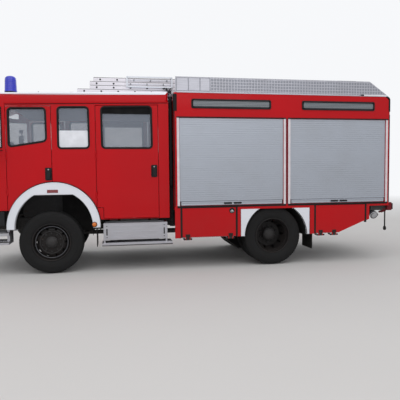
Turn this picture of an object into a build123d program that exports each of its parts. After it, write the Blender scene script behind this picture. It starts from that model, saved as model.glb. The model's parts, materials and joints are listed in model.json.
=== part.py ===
from build123d import *
import os
from math import cos, radians, sin, sqrt, tan

# A two-axle fire engine with a crew cab and an equipment body, in millimetres.
# +X points forward, +Y to the vehicle's left and +Z up. The origin is on the ground,
# under the middle of the vehicle's length. Places along the length are "stations":
# millimetres behind the front axle, so a place ahead of the axle is negative.

# overall
WHEELBASE = 3700.0
BODY_HALF_WIDTH = 1250.0
CAB_HALF_WIDTH = BODY_HALF_WIDTH - 90.0
BEYOND = max(CAB_HALF_WIDTH, BODY_HALF_WIDTH) + 150.0   # cuts that pass the sides
BODY_TOP = 2925.0
FRONT_OVERHANG = 1270.0        # front axle to the bumper's face
REAR_REACH = 2380.0            # rear axle to the tow jaw's end
TOTAL_LENGTH = FRONT_OVERHANG + WHEELBASE + REAR_REACH
AXLE_X = TOTAL_LENGTH / 2 - FRONT_OVERHANG
REAR_AXLE = WHEELBASE          # station of the rear axle
RUNNING_GAP = 0.1              # between a shaft and its hole
END_GAP = 0.3                  # between a turning piece's end and its neighbour

# wheels
FRONT_WHEEL_Y = CAB_HALF_WIDTH - 170.0    # middle of the front tyre
REAR_WHEEL_Y = BODY_HALF_WIDTH - 188.0    # middle of the outer rear tyre
TYRE_RADIUS = 510.0
TYRE_WIDTH = 275.0
TYRE_CROWN = 60.0              # how far the shoulder is rounded
BEAD_RADIUS = 292.0
BEAD_INSET = 22.0              # tyre's side to its bead
RIM_LIP = 14.0                 # the rim's flange stands this far above the bead
RIM_WALL = 14.0
TWIN_SPACING = 315.0
INNER_WHEEL_Y = REAR_WHEEL_Y - TWIN_SPACING
HUB_RADIUS = 120.0
FRONT_SPINDLE_R = 45.0
REAR_SPINDLE_R = 55.0
AXLE_Z = TYRE_RADIUS

# chassis frame and axles
RAIL_OUTER_Y = 425.0
RAIL_WIDTH = 75.0
RAIL_BOTTOM = 660.0
RAIL_TOP = 860.0
RAIL_END = REAR_AXLE + 2150.0
CROSSMEMBER = 100.0
BEARER_END = REAR_AXLE + 1700.0   # the beams between the rails and the body end here
KINGPIN_Y = FRONT_WHEEL_Y - 140.0
KNUCKLE_RADIUS = 50.0
KNUCKLE_HEIGHT = 180.0
YOKE_LUG = 55.0
FRONT_TUBE_R = 65.0
REAR_TUBE_R = 75.0
LEAF_THICK = 14.0
LEAF_WIDTH = 70.0
LEAF_HALF_LENGTH = 600.0
LEAF_STEP = 90.0                # each leaf ends this far short of the one above
LEAVES = 5
HANGER = 40.0
DRUM_R = 200.0                 # brake drums
DRUM_WALL = 15.0
PLATE_THICK = 10.0             # plate that closes a drum

# cab
CAB_NOSE = 1150.0              # cab front face ahead of the axle
WALL = 50.0                    # doors and cab sides
SEAM = 8.0                     # gap round a door
CAB_CORNER_R = 320.0
HINGE_LINE = -645.0            # station of the front doors' hinges
FRONT_DOOR_REAR = 46.0
CREW_HINGE_LINE = 725.0
CREW_DOOR_REAR = 1740.0
CAB_BACK = 1910.0
FRONT_SKIRT_Z = 1040.0         # lower edge of the cab ahead of the wheel
CREW_SILL_Z = 865.0            # lower edge of the cab behind the wheel
DRIP_REAR_Z = BODY_TOP - 150.0   # drip rail, which rises to the rear
DRIP_FRONT_Z = DRIP_REAR_Z - 60.0
HEADER = 42.0                  # rail over the doors
ROOF_RISE = 172.0              # drip rail to the roof's top
ROOF_SKIN = 30.0
ARCH_STATION = 60.0            # middle of the front wheel arch
ARCH_Z = 757.0
ARCH_OUTER_R = 720.0
ARCH_INNER_R = 600.0
ARCH_FLAT_Z = 1279.0
ARCH_FOOT_Z = 740.0
FLARE_Y = CAB_HALF_WIDTH + 60.0
ARCH_GAP = 15.0                # round the trim, for the front door's swing
DOOR_SKIN = 10.0
FLARE_BACK_Y = CAB_HALF_WIDTH - WALL
PLATFORM_BOTTOM = 1300.0       # floor over the front wheels and engine
CREW_FLOOR_BOTTOM = 905.0
FLOOR_THICK = 40.0
GLASS = 6.0
WINDOW_R = 55.0
SCREEN_TOP = DRIP_FRONT_Z - 65.0
SCREEN_BOTTOM = SCREEN_TOP - 620.0
SCREEN_SIDE = -700.0           # station where the windscreen ends on the cab's side
SCREEN_LEAN = 110.0            # how far the cab's brow stands behind its chin
CHIN_Z = SCREEN_BOTTOM - 80.0
BROW_Z = DRIP_FRONT_Z

# equipment body
BODY_GAP = 80.0                # cab to body
BODY_FRONT = CAB_BACK + BODY_GAP
BODY_REAR = REAR_AXLE + 2165.0
BODY_SKIN = 30.0
BODY_WALL = 40.0
BODY_FLOOR_BOTTOM = 990.0
BODY_FLOOR_TOP = 1035.0
EDGE_R = 30.0
TAIL_R = 130.0                 # rounded top rear corner in side view
SHUTTER_BOTTOM = 1062.0
SHUTTER_TOP = BODY_TOP - 413.0
SHUTTER_FRONT_MARGIN = 86.0
SHUTTER_POST = 126.0           # post between the two shutters
SHUTTER_REAR_MARGIN = 75.0
SHUTTER_SPLIT = REAR_AXLE + 174.0
SHUTTER_INSET = 12.0
SHUTTER_THICK = BODY_SKIN - SHUTTER_INSET
SKIRT_BOTTOM = 522.0
FLAP_TOP = 1020.0
FLAP_FRONT_MARGIN = 122.0
FLAP_SEAM = 20.0
FLAP_THICK = 24.0
FLAP_GAP = 12.0                # above and below a flap
FLAP_HINGE_Z = 500.0
FLAP_HINGE_Y = BODY_HALF_WIDTH - 8.0
FLAP_BARREL_R = 14.0
FLAP_BARREL = 80.0
PANEL_FRONT = REAR_AXLE - 585.0   # white panel round the rear wheel
PANEL_REAR = REAR_AXLE + 652.0
POST = 70.0                    # red post beside that panel
REAR_ARCH_R = 556.0
REAR_ARCH_FLAT = 985.0
TAIL_KINK = REAR_AXLE + 1205.0
TAIL_END = REAR_AXLE + 1790.0
TAIL_END_Z = 755.0
LOCKER_DEPTH = 480.0
LOCKER_WALL = 20.0
HOUSING_Y = INNER_WHEEL_Y - 187.0   # inner side of the rear wheel housing
HOUSING_TOP = 1160.0
HOUSING_HALF = 585.0

# roof
GALLERY_Y = BODY_HALF_WIDTH - 50.0
GALLERY_PLATE = 20.0
GALLERY_FOOT = 20.0
GALLERY_HEIGHT = 245.0
GALLERY_SLOPE = 340.0
BEARER = 40.0
LADDER_WIDTH = 450.0
LADDER_BEAM = 25.0
LADDER_LAYER = 66.0
RUNG = 30.0
RUNG_PITCH = 285.0
LADDER_Y = BODY_HALF_WIDTH - 830.0
MAST_STATION = REAR_AXLE + 1570.0
MAST_Y = 0.0
MAST_R = 40.0
MAST_TUBE_WALL = 12.0
MAST_BOTTOM = 1150.0
MAST_COLLAR_Z = BODY_TOP + 105.0
MAST_HEAD_Z = BODY_TOP + 315.0
TILT_STATION = MAST_STATION + 20.0
TILT_Z = MAST_HEAD_Z + 85.0
TILT_R = 15.0


def at(station):
    return AXLE_X - station


def block(s0, s1, y0, y1, z0, z1):
    """A box between two stations, two widths and two heights."""
    size = (abs(s1 - s0), abs(y1 - y0), abs(z1 - z0))
    return Pos(at((s0 + s1) / 2), (y0 + y1) / 2, (z0 + z1) / 2) * Box(*size)


def side_plate(points, y0, y1):
    """A plate between two widths, whose outline is a list of (station, height)."""
    outline = Polyline(*[(at(s), z) for s, z in points], close=True)
    face = Plane.XZ.offset(-y1) * make_face(outline)
    return extrude(face, amount=y1 - y0)


def across(radius, station, y0, y1, z):
    """A round bar that runs across the vehicle."""
    bar = Cylinder(radius, y1 - y0)
    return Pos(at(station), (y0 + y1) / 2, z) * Rot(90, 0, 0) * bar


def along(radius, s0, s1, y, z):
    """A round bar that runs along the vehicle."""
    return Pos(at((s0 + s1) / 2), y, z) * Rot(0, 90, 0) * Cylinder(radius, abs(s1 - s0))


def upright(radius, station, y, z0, z1):
    return Pos(at(station), y, (z0 + z1) / 2) * Cylinder(radius, z1 - z0)


def other_side(shape):
    return mirror(shape, about=Plane.XZ)


def both_sides(shape):
    return [shape, other_side(shape)]


def drip_z(station):
    """Height of the drip rail, which rises from the front hinges to the cab's back."""
    share = (station - HINGE_LINE) / (CAB_BACK - HINGE_LINE)
    return DRIP_FRONT_Z + share * (DRIP_REAR_Z - DRIP_FRONT_Z)


def rounded_window(points, y0, y1, radius=WINDOW_R):
    plate = side_plate(points, y0, y1)
    return fillet(plate.edges().filter_by(Axis.Y), radius)


def window(corners):
    """Corners as (station, height), from corners given below the drip rail's front."""
    return [(s, DRIP_FRONT_Z - drop) for s, drop in corners]


# Windows of the cab's left side: corners from the upper front, as (station, drop).
FRONT_WINDOW = window([(-600, 73), (-38, 65), (-33, 583), (-600, 678)])
MID_WINDOW = window([(146, 47), (622, 39), (626, 695), (144, 701)])
CREW_WINDOW = window([(822, 35), (1628, 15), (1636, 695), (826, 695)])


# ---- wheels
def tyre(y):
    """One tyre with its middle at y, turned about the axle line."""
    half = TYRE_WIDTH / 2
    lip = BEAD_RADIUS + RIM_LIP + 2
    bulge = (TYRE_RADIUS + BEAD_RADIUS) / 2
    shoulder = TYRE_RADIUS - TYRE_CROWN
    tread = half - TYRE_CROWN * 0.55
    bead = half - BEAD_INSET
    profile = (
        Line((-bead, BEAD_RADIUS), (bead, BEAD_RADIUS))
        + Line((bead, BEAD_RADIUS), (bead, lip))
        + ThreePointArc((bead, lip), (half, bulge), (half - 14, shoulder))
        + ThreePointArc(
            (half - 14, shoulder),
            (half - 19, TYRE_RADIUS - 22),
            (tread, TYRE_RADIUS - 4),
        )
        + ThreePointArc(
            (tread, TYRE_RADIUS - 4), (0, TYRE_RADIUS), (-tread, TYRE_RADIUS - 4)
        )
        + ThreePointArc(
            (-tread, TYRE_RADIUS - 4),
            (-half + 19, TYRE_RADIUS - 22),
            (-half + 14, shoulder),
        )
        + ThreePointArc((-half + 14, shoulder), (-half, bulge), (-bead, lip))
        + Line((-bead, lip), (-bead, BEAD_RADIUS))
    )
    ring = revolve(make_face(profile), Axis.X)
    return Pos(0, y, 0) * Rot(0, 0, 90) * ring


def rim_barrel(y):
    """The rolled rim under one tyre, with a flange at each side."""
    half = TYRE_WIDTH / 2 - BEAD_INSET
    lip = BEAD_RADIUS + RIM_LIP
    inner = BEAD_RADIUS - RIM_WALL
    profile = Polyline(
        (-half - RIM_WALL, lip), (-half, lip), (-half, BEAD_RADIUS), (half, BEAD_RADIUS),
        (half, lip), (half + RIM_WALL, lip), (half + RIM_WALL, inner),
        (-half - RIM_WALL, inner), close=True,
    )
    return Pos(0, y, 0) * Rot(0, 0, 90) * revolve(make_face(profile), Axis.X)


def disc(y0, y1, radius):
    return Pos(0, (y0 + y1) / 2, 0) * Rot(90, 0, 0) * Cylinder(radius, y1 - y0)


def cone(y0, y1, r0, r1):
    """A cone about the axle line, r0 at y0 and r1 at y1."""
    shape = Rot(-90, 0, 0) * Cone(r0, r1, y1 - y0)
    return Pos(0, (y0 + y1) / 2, 0) * shape


FRONT_DISC_Y = FRONT_WHEEL_Y + 62.0   # the front wheel's disc bulges outwards
REAR_DISC_Y = REAR_WHEEL_Y - TWIN_SPACING / 2 - 8.0
DISC_THICK = 14.0
HUB_END = 98.0                        # how far the front hub stands past its disc
FRONT_DRUM_Y = KINGPIN_Y + 68.0       # inner edges of the drums
REAR_DRUM_Y = INNER_WHEEL_Y - 107.0


def drum(y0, y1):
    """Brake drum, open on its inner side."""
    return disc(y0, y1, DRUM_R) - disc(y0 - 1, y1 - DRUM_WALL, DRUM_R - DRUM_WALL)


def front_rim():
    """Rolled rim, dished disc and hub of a front wheel, about the origin's Y line."""
    inner = BEAD_RADIUS - RIM_WALL
    rim = rim_barrel(FRONT_WHEEL_Y)
    rim += cone(FRONT_WHEEL_Y, FRONT_DISC_Y + DISC_THICK, inner + 6, 205)
    rim -= cone(FRONT_WHEEL_Y - 1, FRONT_DISC_Y, inner - 10, 190)
    rim += disc(FRONT_DISC_Y - 60, FRONT_DISC_Y + HUB_END * 0.35, HUB_RADIUS)
    rim += disc(FRONT_DISC_Y, FRONT_DISC_Y + HUB_END, HUB_RADIUS * 0.62)
    rim += drum(FRONT_DRUM_Y, FRONT_DISC_Y - 60 + DRUM_WALL)
    return rim - disc(0, FRONT_DISC_Y + HUB_END * 0.4, FRONT_SPINDLE_R + RUNNING_GAP)


def rear_rim():
    """Two rolled rims bolted disc to disc, with the hub standing in the dish."""
    inner = BEAD_RADIUS - RIM_WALL
    y_in = INNER_WHEEL_Y
    rim = rim_barrel(REAR_WHEEL_Y) + rim_barrel(y_in)
    for y0, y1, r0, r1 in (
        (REAR_DISC_Y, REAR_WHEEL_Y - 20, 205, inner + 6),
        (y_in + 20, REAR_DISC_Y + DISC_THICK, inner + 6, 205),
    ):
        skew = DISC_THICK if r0 < r1 else -DISC_THICK
        rim += cone(y0, y1, r0, r1) - cone(y0 + skew, y1 + skew, r0, r1)
    rim += disc(REAR_DISC_Y, REAR_DISC_Y + DISC_THICK, 210)
    rim += disc(REAR_DISC_Y - 90, REAR_DISC_Y + 150, HUB_RADIUS)
    rim += drum(REAR_DRUM_Y, REAR_DISC_Y - 90 + DRUM_WALL)
    return rim - disc(0, REAR_DISC_Y + 110, REAR_SPINDLE_R + RUNNING_GAP)


def place_wheel(shape, station):
    return Pos(at(station), 0, AXLE_Z) * shape


# ---- chassis
KNUCKLE_HALF = KNUCKLE_HEIGHT / 2
SPRING_TOP = RAIL_BOTTOM - 5.0
SPRING_BOTTOM = SPRING_TOP - LEAVES * LEAF_THICK
RAIL_MID_Y = RAIL_OUTER_Y - RAIL_WIDTH / 2
FRONT_DIFF_R = 165.0
REAR_DIFF_R = 190.0


def front_axle():
    end = KINGPIN_Y - 110
    axle = across(FRONT_TUBE_R, 0, -end, end, AXLE_Z)
    axle += across(FRONT_DIFF_R, 0, -280, -20, AXLE_Z)
    for side in (1, -1):
        yoke = block(-55, 55, side * (KINGPIN_Y - 125), side * (KINGPIN_Y - 70),
                     AXLE_Z - 150, AXLE_Z + 150)
        for z0 in (AXLE_Z - KNUCKLE_HALF - YOKE_LUG, AXLE_Z + KNUCKLE_HALF):
            yoke += block(-50, 50, side * (KINGPIN_Y - 80), side * KINGPIN_Y,
                          z0, z0 + YOKE_LUG)
            yoke += upright(KNUCKLE_RADIUS, 0, side * KINGPIN_Y, z0, z0 + YOKE_LUG)
        axle += yoke
        y0, y1 = side * (RAIL_MID_Y - 45), side * (RAIL_MID_Y + 45)
        axle += block(-70, 70, y0, y1, AXLE_Z, SPRING_BOTTOM)
    return axle


def knuckle():
    """Left steering knuckle between the yoke's lugs, with spindle and arm."""
    half = KNUCKLE_HALF - END_GAP
    body = upright(KNUCKLE_RADIUS, 0, KINGPIN_Y, AXLE_Z - half, AXLE_Z + half)
    body += across(
        FRONT_SPINDLE_R, 0, KINGPIN_Y, FRONT_DISC_Y + HUB_END * 0.4 - END_GAP, AXLE_Z
    )
    body += block(0, 190, KINGPIN_Y - 25, KINGPIN_Y + 10, AXLE_Z - 60, AXLE_Z - 30)
    plate_y = FRONT_DRUM_Y - 5 - PLATE_THICK
    return body + across(DRUM_R - 20, 0, plate_y, plate_y + PLATE_THICK, AXLE_Z)


def rear_axle():
    tube = REAR_DRUM_Y - 5
    axle = across(REAR_TUBE_R, REAR_AXLE, -tube, tube, AXLE_Z)
    axle += across(REAR_DIFF_R, REAR_AXLE, -130, 130, AXLE_Z)
    end = REAR_DISC_Y + 110 - END_GAP
    axle += across(REAR_SPINDLE_R, REAR_AXLE, -end, end, AXLE_Z)
    for side in (1, -1):
        y0, y1 = side * (RAIL_MID_Y - 50), side * (RAIL_MID_Y + 50)
        axle += block(REAR_AXLE - 80, REAR_AXLE + 80, y0, y1, AXLE_Z, SPRING_BOTTOM)
        y0, y1 = sorted((side * (tube - PLATE_THICK), side * tube))
        axle += across(DRUM_R - 20, REAR_AXLE, y0, y1, AXLE_Z)
    return axle


def leaf_pack(station, side):
    """Five straight leaves, each shorter than the one above it."""
    y0 = side * (RAIL_MID_Y - LEAF_WIDTH / 2)
    y1 = side * (RAIL_MID_Y + LEAF_WIDTH / 2)
    pack = None
    for n in range(LEAVES):
        half = LEAF_HALF_LENGTH - n * LEAF_STEP
        top = SPRING_TOP - n * LEAF_THICK
        leaf = block(station - half, station + half, y0, y1, top - LEAF_THICK, top)
        pack = leaf if pack is None else pack + leaf
    for end in (-1, 1):
        s = station + end * (LEAF_HALF_LENGTH + HANGER / 2)
        hanger = block(s - HANGER / 2, s + HANGER / 2, y0, y1,
                       SPRING_TOP - LEAF_THICK - 20, RAIL_BOTTOM)
        pack += hanger
    return pack


CROSSMEMBERS = [-1080, -620, 1250, 2050, REAR_AXLE - 800, REAR_AXLE + 600,
                REAR_AXLE + 1400]      # stations
CAB_BEARERS = ((1180.0, 1340.0, CREW_FLOOR_BOTTOM), (-900.0, -760.0, FRONT_SKIRT_Z))


def chassis_frame():
    """Two rails, their crossmembers, the leaf springs and the body's bearers."""
    frame = None
    for side in (1, -1):
        y0, y1 = side * (RAIL_OUTER_Y - RAIL_WIDTH), side * RAIL_OUTER_Y
        rail = block(-FRONT_OVERHANG + BUMPER_DEPTH, RAIL_END, y0, y1,
                     RAIL_BOTTOM, RAIL_TOP)
        rail += block(BODY_FRONT + BODY_WALL, BEARER_END, y0, y1,
                      RAIL_TOP, BODY_FLOOR_BOTTOM)
        for s0, s1, top in CAB_BEARERS:
            rail += block(s0, s1, y0, y1, RAIL_TOP, top)
        rail += leaf_pack(0, side) + leaf_pack(REAR_AXLE, side)
        frame = rail if frame is None else frame + rail
    reach = RAIL_OUTER_Y - RAIL_WIDTH
    for s in CROSSMEMBERS:
        frame += block(s - CROSSMEMBER / 2, s + CROSSMEMBER / 2, -reach, reach,
                       RAIL_TOP - CROSSMEMBER - 10, RAIL_TOP - 10)
    for s in (CAB_STEP_FRONT + 60, CAB_STEP_REAR - 60, ENTRY_STEP_REAR - 60):
        for side in (1, -1):
            y0, y1 = side * RAIL_OUTER_Y, side * STEP_INNER_Y
            frame += block(s - 20, s + 20, y0, y1, RAIL_BOTTOM + 20, RAIL_BOTTOM + 90)
    return frame


ENGINE_FRONT = -560.0
ENGINE_REAR = 330.0
ENGINE_HALF = 330.0
ENGINE_BOTTOM = 700.0
GEARBOX_REAR = 1190.0
GEARBOX_HALF = 190.0
TRANSFER_FRONT = 1350.0
TRANSFER_REAR = 1720.0
TRANSFER_HALF = 230.0
SHAFT_R = 45.0


def engine_and_drive():
    """Engine as one plain block, gearbox, transfer box and propeller shafts."""
    drive = block(ENGINE_FRONT, ENGINE_REAR, -ENGINE_HALF, ENGINE_HALF,
                  ENGINE_BOTTOM, PLATFORM_BOTTOM - 30)
    drive += block(ENGINE_REAR, GEARBOX_REAR, -GEARBOX_HALF, GEARBOX_HALF, 600, 850)
    drive += block(TRANSFER_FRONT, TRANSFER_REAR, -TRANSFER_HALF, TRANSFER_HALF, 440, 830)
    drive += along(SHAFT_R - 7, GEARBOX_REAR, TRANSFER_FRONT, 0, 700)
    drive += along(SHAFT_R - 5, FRONT_DIFF_R + END_GAP, TRANSFER_FRONT, -150, AXLE_Z)
    drive += along(SHAFT_R, TRANSFER_REAR, REAR_AXLE - REAR_DIFF_R - END_GAP, 0, AXLE_Z)
    inner = RAIL_OUTER_Y - RAIL_WIDTH
    for side in (1, -1):
        drive += block(-500, -300, side * (ENGINE_HALF - 10), side * inner,
                       RAIL_BOTTOM + 60, RAIL_TOP)
        drive += block(1500, 1600, side * (TRANSFER_HALF - 10), side * inner,
                       RAIL_BOTTOM + 60, RAIL_TOP - 60)
    return drive


PIPE_R = 27.0
PIPE_Z = 620.0
PIPE_INNER_Y = -260.0          # inside the right rail
PIPE_OUTER_Y = -RAIL_OUTER_Y - 30.0
PIPE_CROSSES = 700.0           # where the exhaust pipe passes under the rail
SILENCER = (PANEL_FRONT - 995, PANEL_FRONT - 235)    # its ends
SILENCER_ROOM = BODY_HALF_WIDTH - 510 - RAIL_OUTER_Y     # from the rail to the locker
SILENCER_R = SILENCER_ROOM / 2 - 42.5
SILENCER_Y = -(RAIL_OUTER_Y + SILENCER_ROOM / 2 - 2.5)


def exhaust():
    """Exhaust pipe with its silencer, between the right rail and the low locker."""
    start, outlet = ENGINE_REAR - 40, PANEL_FRONT - 5
    pipe = upright(PIPE_R, start, PIPE_INNER_Y, PIPE_Z, ENGINE_BOTTOM)
    pipe += along(PIPE_R, start, PIPE_CROSSES, PIPE_INNER_Y, PIPE_Z)
    pipe += across(PIPE_R, PIPE_CROSSES, PIPE_OUTER_Y, PIPE_INNER_Y, PIPE_Z)
    pipe += along(PIPE_R, PIPE_CROSSES, SILENCER[0] + 10, PIPE_OUTER_Y, PIPE_Z)
    pipe += along(SILENCER_R, *SILENCER, SILENCER_Y, PIPE_Z + 20)
    pipe += along(PIPE_R, SILENCER[1] - 10, outlet, SILENCER_Y, PIPE_Z - 50)
    pipe += across(PIPE_R, outlet, -REAR_WHEEL_Y - 90, SILENCER_Y, PIPE_Z - 50)
    for s, y, z in ((start, PIPE_INNER_Y, PIPE_Z), (PIPE_CROSSES, PIPE_INNER_Y, PIPE_Z),
                    (PIPE_CROSSES, PIPE_OUTER_Y, PIPE_Z), (outlet, SILENCER_Y, PIPE_Z - 50)):
        pipe += Pos(at(s), y, z) * Sphere(PIPE_R + 1)
    for s in (SILENCER[0] + 160, SILENCER[1] - 160):
        pipe += block(s - 25, s + 25, SILENCER_Y, -RAIL_OUTER_Y, RAIL_BOTTOM + 30,
                      RAIL_BOTTOM + 70)
    return pipe


INTAKE_R = 26.0
INTAKE_Y = CAB_HALF_WIDTH - 65.0
INTAKE_BOTTOM = 1400.0
INTAKE_PITCH = 46.0


def air_intake():
    """Ribbed air hose in the gap between cab and body, with a cowl on top."""
    s = CAB_BACK + BODY_GAP / 2
    top = DRIP_REAR_Z + 60
    hose = upright(INTAKE_R, s, INTAKE_Y, INTAKE_BOTTOM, top)
    count = int((top - INTAKE_BOTTOM) / INTAKE_PITCH)
    for n in range(count):
        z = INTAKE_BOTTOM + (n + 0.5) * INTAKE_PITCH
        hose += upright(INTAKE_R + 8, s, INTAKE_Y, z - 10, z + 10)
    hose += upright(INTAKE_R + 10, s, INTAKE_Y, top, top + 40)
    return hose + block(CAB_BACK, s, INTAKE_Y - 20, INTAKE_Y + 20, top - 130, top - 90)


AIR_TANK_R = 100.0
AIR_TANK_Z = 600.0


def tanks():
    """Fuel tank on the left rail, air reservoirs on the right."""
    s0, s1 = CAB_STEP_FRONT + 100, CAB_STEP_REAR - 100
    tank = block(s0, s1, RAIL_OUTER_Y, STEP_INNER_Y - 40, 440, 840)
    tank = fillet(tank.edges().filter_by(Axis.X), 40)
    y = -RAIL_OUTER_Y - 165
    air = along(AIR_TANK_R, s0, s1, y, AIR_TANK_Z)
    for s in (s0 + 90, s1 - 90):
        air += block(s - 30, s + 30, y, -RAIL_OUTER_Y, AIR_TANK_Z + 90, AIR_TANK_Z + 140)
    return [tank, air]


# ---- bumpers, steps and arches
BUMPER_DEPTH = 70.0
BUMPER_TOP = 1028.0
BUMPER_SIDE_BOTTOM = 800.0
BUMPER_BOTTOM = 620.0
BUMPER_HALF_WIDTH = CAB_HALF_WIDTH + 15.0
BUMPER_R = 200.0
BUMPER_SIDE_END = -690.0
STEP_INNER_Y = CAB_HALF_WIDTH - 360.0
CAB_STEP_FRONT = 823.0
CAB_STEP_REAR = 1868.0
CAB_STEP_TOP = 796.0
CAB_STEP_BOTTOM = 523.0
CAB_STEP_Y = CAB_HALF_WIDTH + 20.0
ENTRY_STEP_FRONT = -1010.0
ENTRY_STEP_REAR = -640.0
ENTRY_TREADS = ((500, 550), (640, 700))      # bottom and top of each tread


def front_bumper():
    """U-shaped bumper: a deep middle and shallower ends round the corners."""
    length = FRONT_OVERHANG + BUMPER_SIDE_END
    mid = -FRONT_OVERHANG + length / 2

    def plan(inset, extra):
        rect = Rectangle(length - inset + extra, 2 * (BUMPER_HALF_WIDTH - inset))
        rect = Pos((-inset - extra) / 2, 0) * rect
        corners = rect.vertices().sort_by(Axis.X)[-2:]
        return fillet(corners, BUMPER_R - inset)

    height = BUMPER_TOP - BUMPER_BOTTOM
    outer = extrude(Pos(at(mid), 0, BUMPER_BOTTOM) * plan(0, 0), amount=height)
    inner = extrude(Pos(at(mid), 0, BUMPER_BOTTOM) * plan(BUMPER_DEPTH, 100), amount=height)
    shell = outer - inner
    for side in (1, -1):
        shell -= block(-FRONT_OVERHANG + 260, 0, side * (BUMPER_HALF_WIDTH - 475),
                       side * BEYOND, BUMPER_BOTTOM - 1, BUMPER_SIDE_BOTTOM)
        shell -= block(-FRONT_OVERHANG - 1, 0, side * (BUMPER_HALF_WIDTH - 275),
                       side * BEYOND, BUMPER_BOTTOM - 1, BUMPER_BOTTOM + 90)
        shell -= block(-FRONT_OVERHANG - 1, -FRONT_OVERHANG + HEADLAMP_DEPTH,
                       side * HEADLAMP_Y[0], side * HEADLAMP_Y[1], *HEADLAMP_Z)
    return shell


def steps():
    """Entry steps under the front doors and step boxes under the crew doors."""
    made = []
    for side in (1, -1):
        y0, y1 = side * STEP_INNER_Y, side * (CAB_HALF_WIDTH - 10)
        y_post = side * (CAB_HALF_WIDTH - 80)
        entry = None
        for z0, z1 in ENTRY_TREADS:
            tread = block(ENTRY_STEP_FRONT, ENTRY_STEP_REAR, y0, y1, z0, z1)
            entry = tread if entry is None else entry + tread
        entry += block(ENTRY_STEP_REAR - 40, ENTRY_STEP_REAR, y0, y_post,
                       ENTRY_TREADS[0][0], BUMPER_SIDE_BOTTOM + 40)
        entry += block(ENTRY_STEP_FRONT, ENTRY_STEP_FRONT + 30, y0, y_post,
                       ENTRY_TREADS[0][0], BUMPER_SIDE_BOTTOM + 40)
        made.append(entry)
        y1 = side * CAB_STEP_Y
        crew = block(CAB_STEP_FRONT, CAB_STEP_REAR, y0, y1, CAB_STEP_BOTTOM, CAB_STEP_TOP)
        crew -= block(CAB_STEP_FRONT + 25, CAB_STEP_REAR - 25, y0 + side * 25,
                      y1 - side * 25, CAB_STEP_BOTTOM + 25, CAB_STEP_TOP + 1)
        crew += block(CAB_STEP_FRONT - 25, CAB_STEP_REAR + 85, y0 + side * 60, y1,
                      CAB_STEP_BOTTOM - 95, CAB_STEP_BOTTOM - 50)
        for s in (CAB_STEP_FRONT, CAB_STEP_REAR - 30):
            crew += block(s, s + 30, y0 + side * 60, y1 - side * 20,
                          CAB_STEP_BOTTOM - 60, CAB_STEP_BOTTOM)
        made.append(crew)
    return made


def arch_flare():
    """White trim over the left front wheel: a ring segment with a flat inner top."""
    ring = across(ARCH_OUTER_R, ARCH_STATION, FLARE_BACK_Y, FLARE_Y, ARCH_Z)
    hole = across(ARCH_INNER_R, ARCH_STATION, FLARE_BACK_Y - 1, FLARE_Y + 1, ARCH_Z)
    reach = ARCH_OUTER_R + 80
    hole -= block(ARCH_STATION - reach, ARCH_STATION + reach, FLARE_BACK_Y - 2,
                  FLARE_Y + 2, ARCH_FLAT_Z, ARCH_Z + reach)
    flare = ring - hole
    return flare - block(ARCH_STATION - reach, ARCH_STATION + reach, FLARE_BACK_Y - 2,
                         FLARE_Y + 2, ARCH_Z - reach, ARCH_FOOT_Z)


def rear_arch_panel():
    """White panel round the left rear wheel."""
    y0, y1 = BODY_HALF_WIDTH - BODY_SKIN, BODY_HALF_WIDTH
    panel = block(PANEL_FRONT, PANEL_REAR, y0, y1, SKIRT_BOTTOM, REAR_ARCH_FLAT)
    return panel - across(REAR_ARCH_R, REAR_AXLE + 45, y0 - 1, y1 + 1, AXLE_Z)


def wheel_arch_trims():
    return both_sides(arch_flare()) + both_sides(rear_arch_panel())


# ---- cab
def cab_plan(inset, lean):
    """Outline of the cab's front end seen from above, from the hinge line forward."""
    front = at(-CAB_NOSE) - inset - lean
    back = at(HINGE_LINE) - (60 if inset else 0)
    half = CAB_HALF_WIDTH - inset
    radius = CAB_CORNER_R - inset
    line = (
        Line((back, -half), (front - radius, -half))
        + RadiusArc((front - radius, -half), (front, -half + radius), -radius)
        + Line((front, -half + radius), (front, half - radius))
        + RadiusArc((front, half - radius), (front - radius, half), -radius)
        + Line((front - radius, half), (back, half))
        + Line((back, half), (back, -half))
    )
    return make_face(line)


def cab_nose_solid(inset, z_low):
    lower = extrude(Pos(0, 0, z_low) * cab_plan(inset, 0), amount=CHIN_Z - z_low)
    upper = loft([Pos(0, 0, CHIN_Z) * cab_plan(inset, 0),
                  Pos(0, 0, BROW_Z) * cab_plan(inset, SCREEN_LEAN)])
    return lower + upper


def screen_cut():
    """Space of the windscreen, which runs round both front corners."""
    cut = block(-CAB_NOSE - 200, SCREEN_SIDE, -BEYOND, BEYOND, SCREEN_BOTTOM, SCREEN_TOP)
    edges = cut.edges().filter_by(Axis.Y).sort_by(Axis.X)[:2]
    return fillet(edges, 45)


def cab_front():
    shell = cab_nose_solid(0, FRONT_SKIRT_Z) - cab_nose_solid(WALL, FRONT_SKIRT_Z)
    shell -= screen_cut()
    for hinge in door_hinges(HINGE_LINE, FRONT_HINGE_HEIGHTS):
        shell = shell + hinge["fixed"] + other_side(hinge["fixed"])
        shell = shell - hinge["room"] - other_side(hinge["room"])
    return shell


def windscreen():
    pane = cab_nose_solid(20, FRONT_SKIRT_Z) - cab_nose_solid(20 + GLASS, FRONT_SKIRT_Z)
    pane = pane & screen_cut()
    return pane


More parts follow.
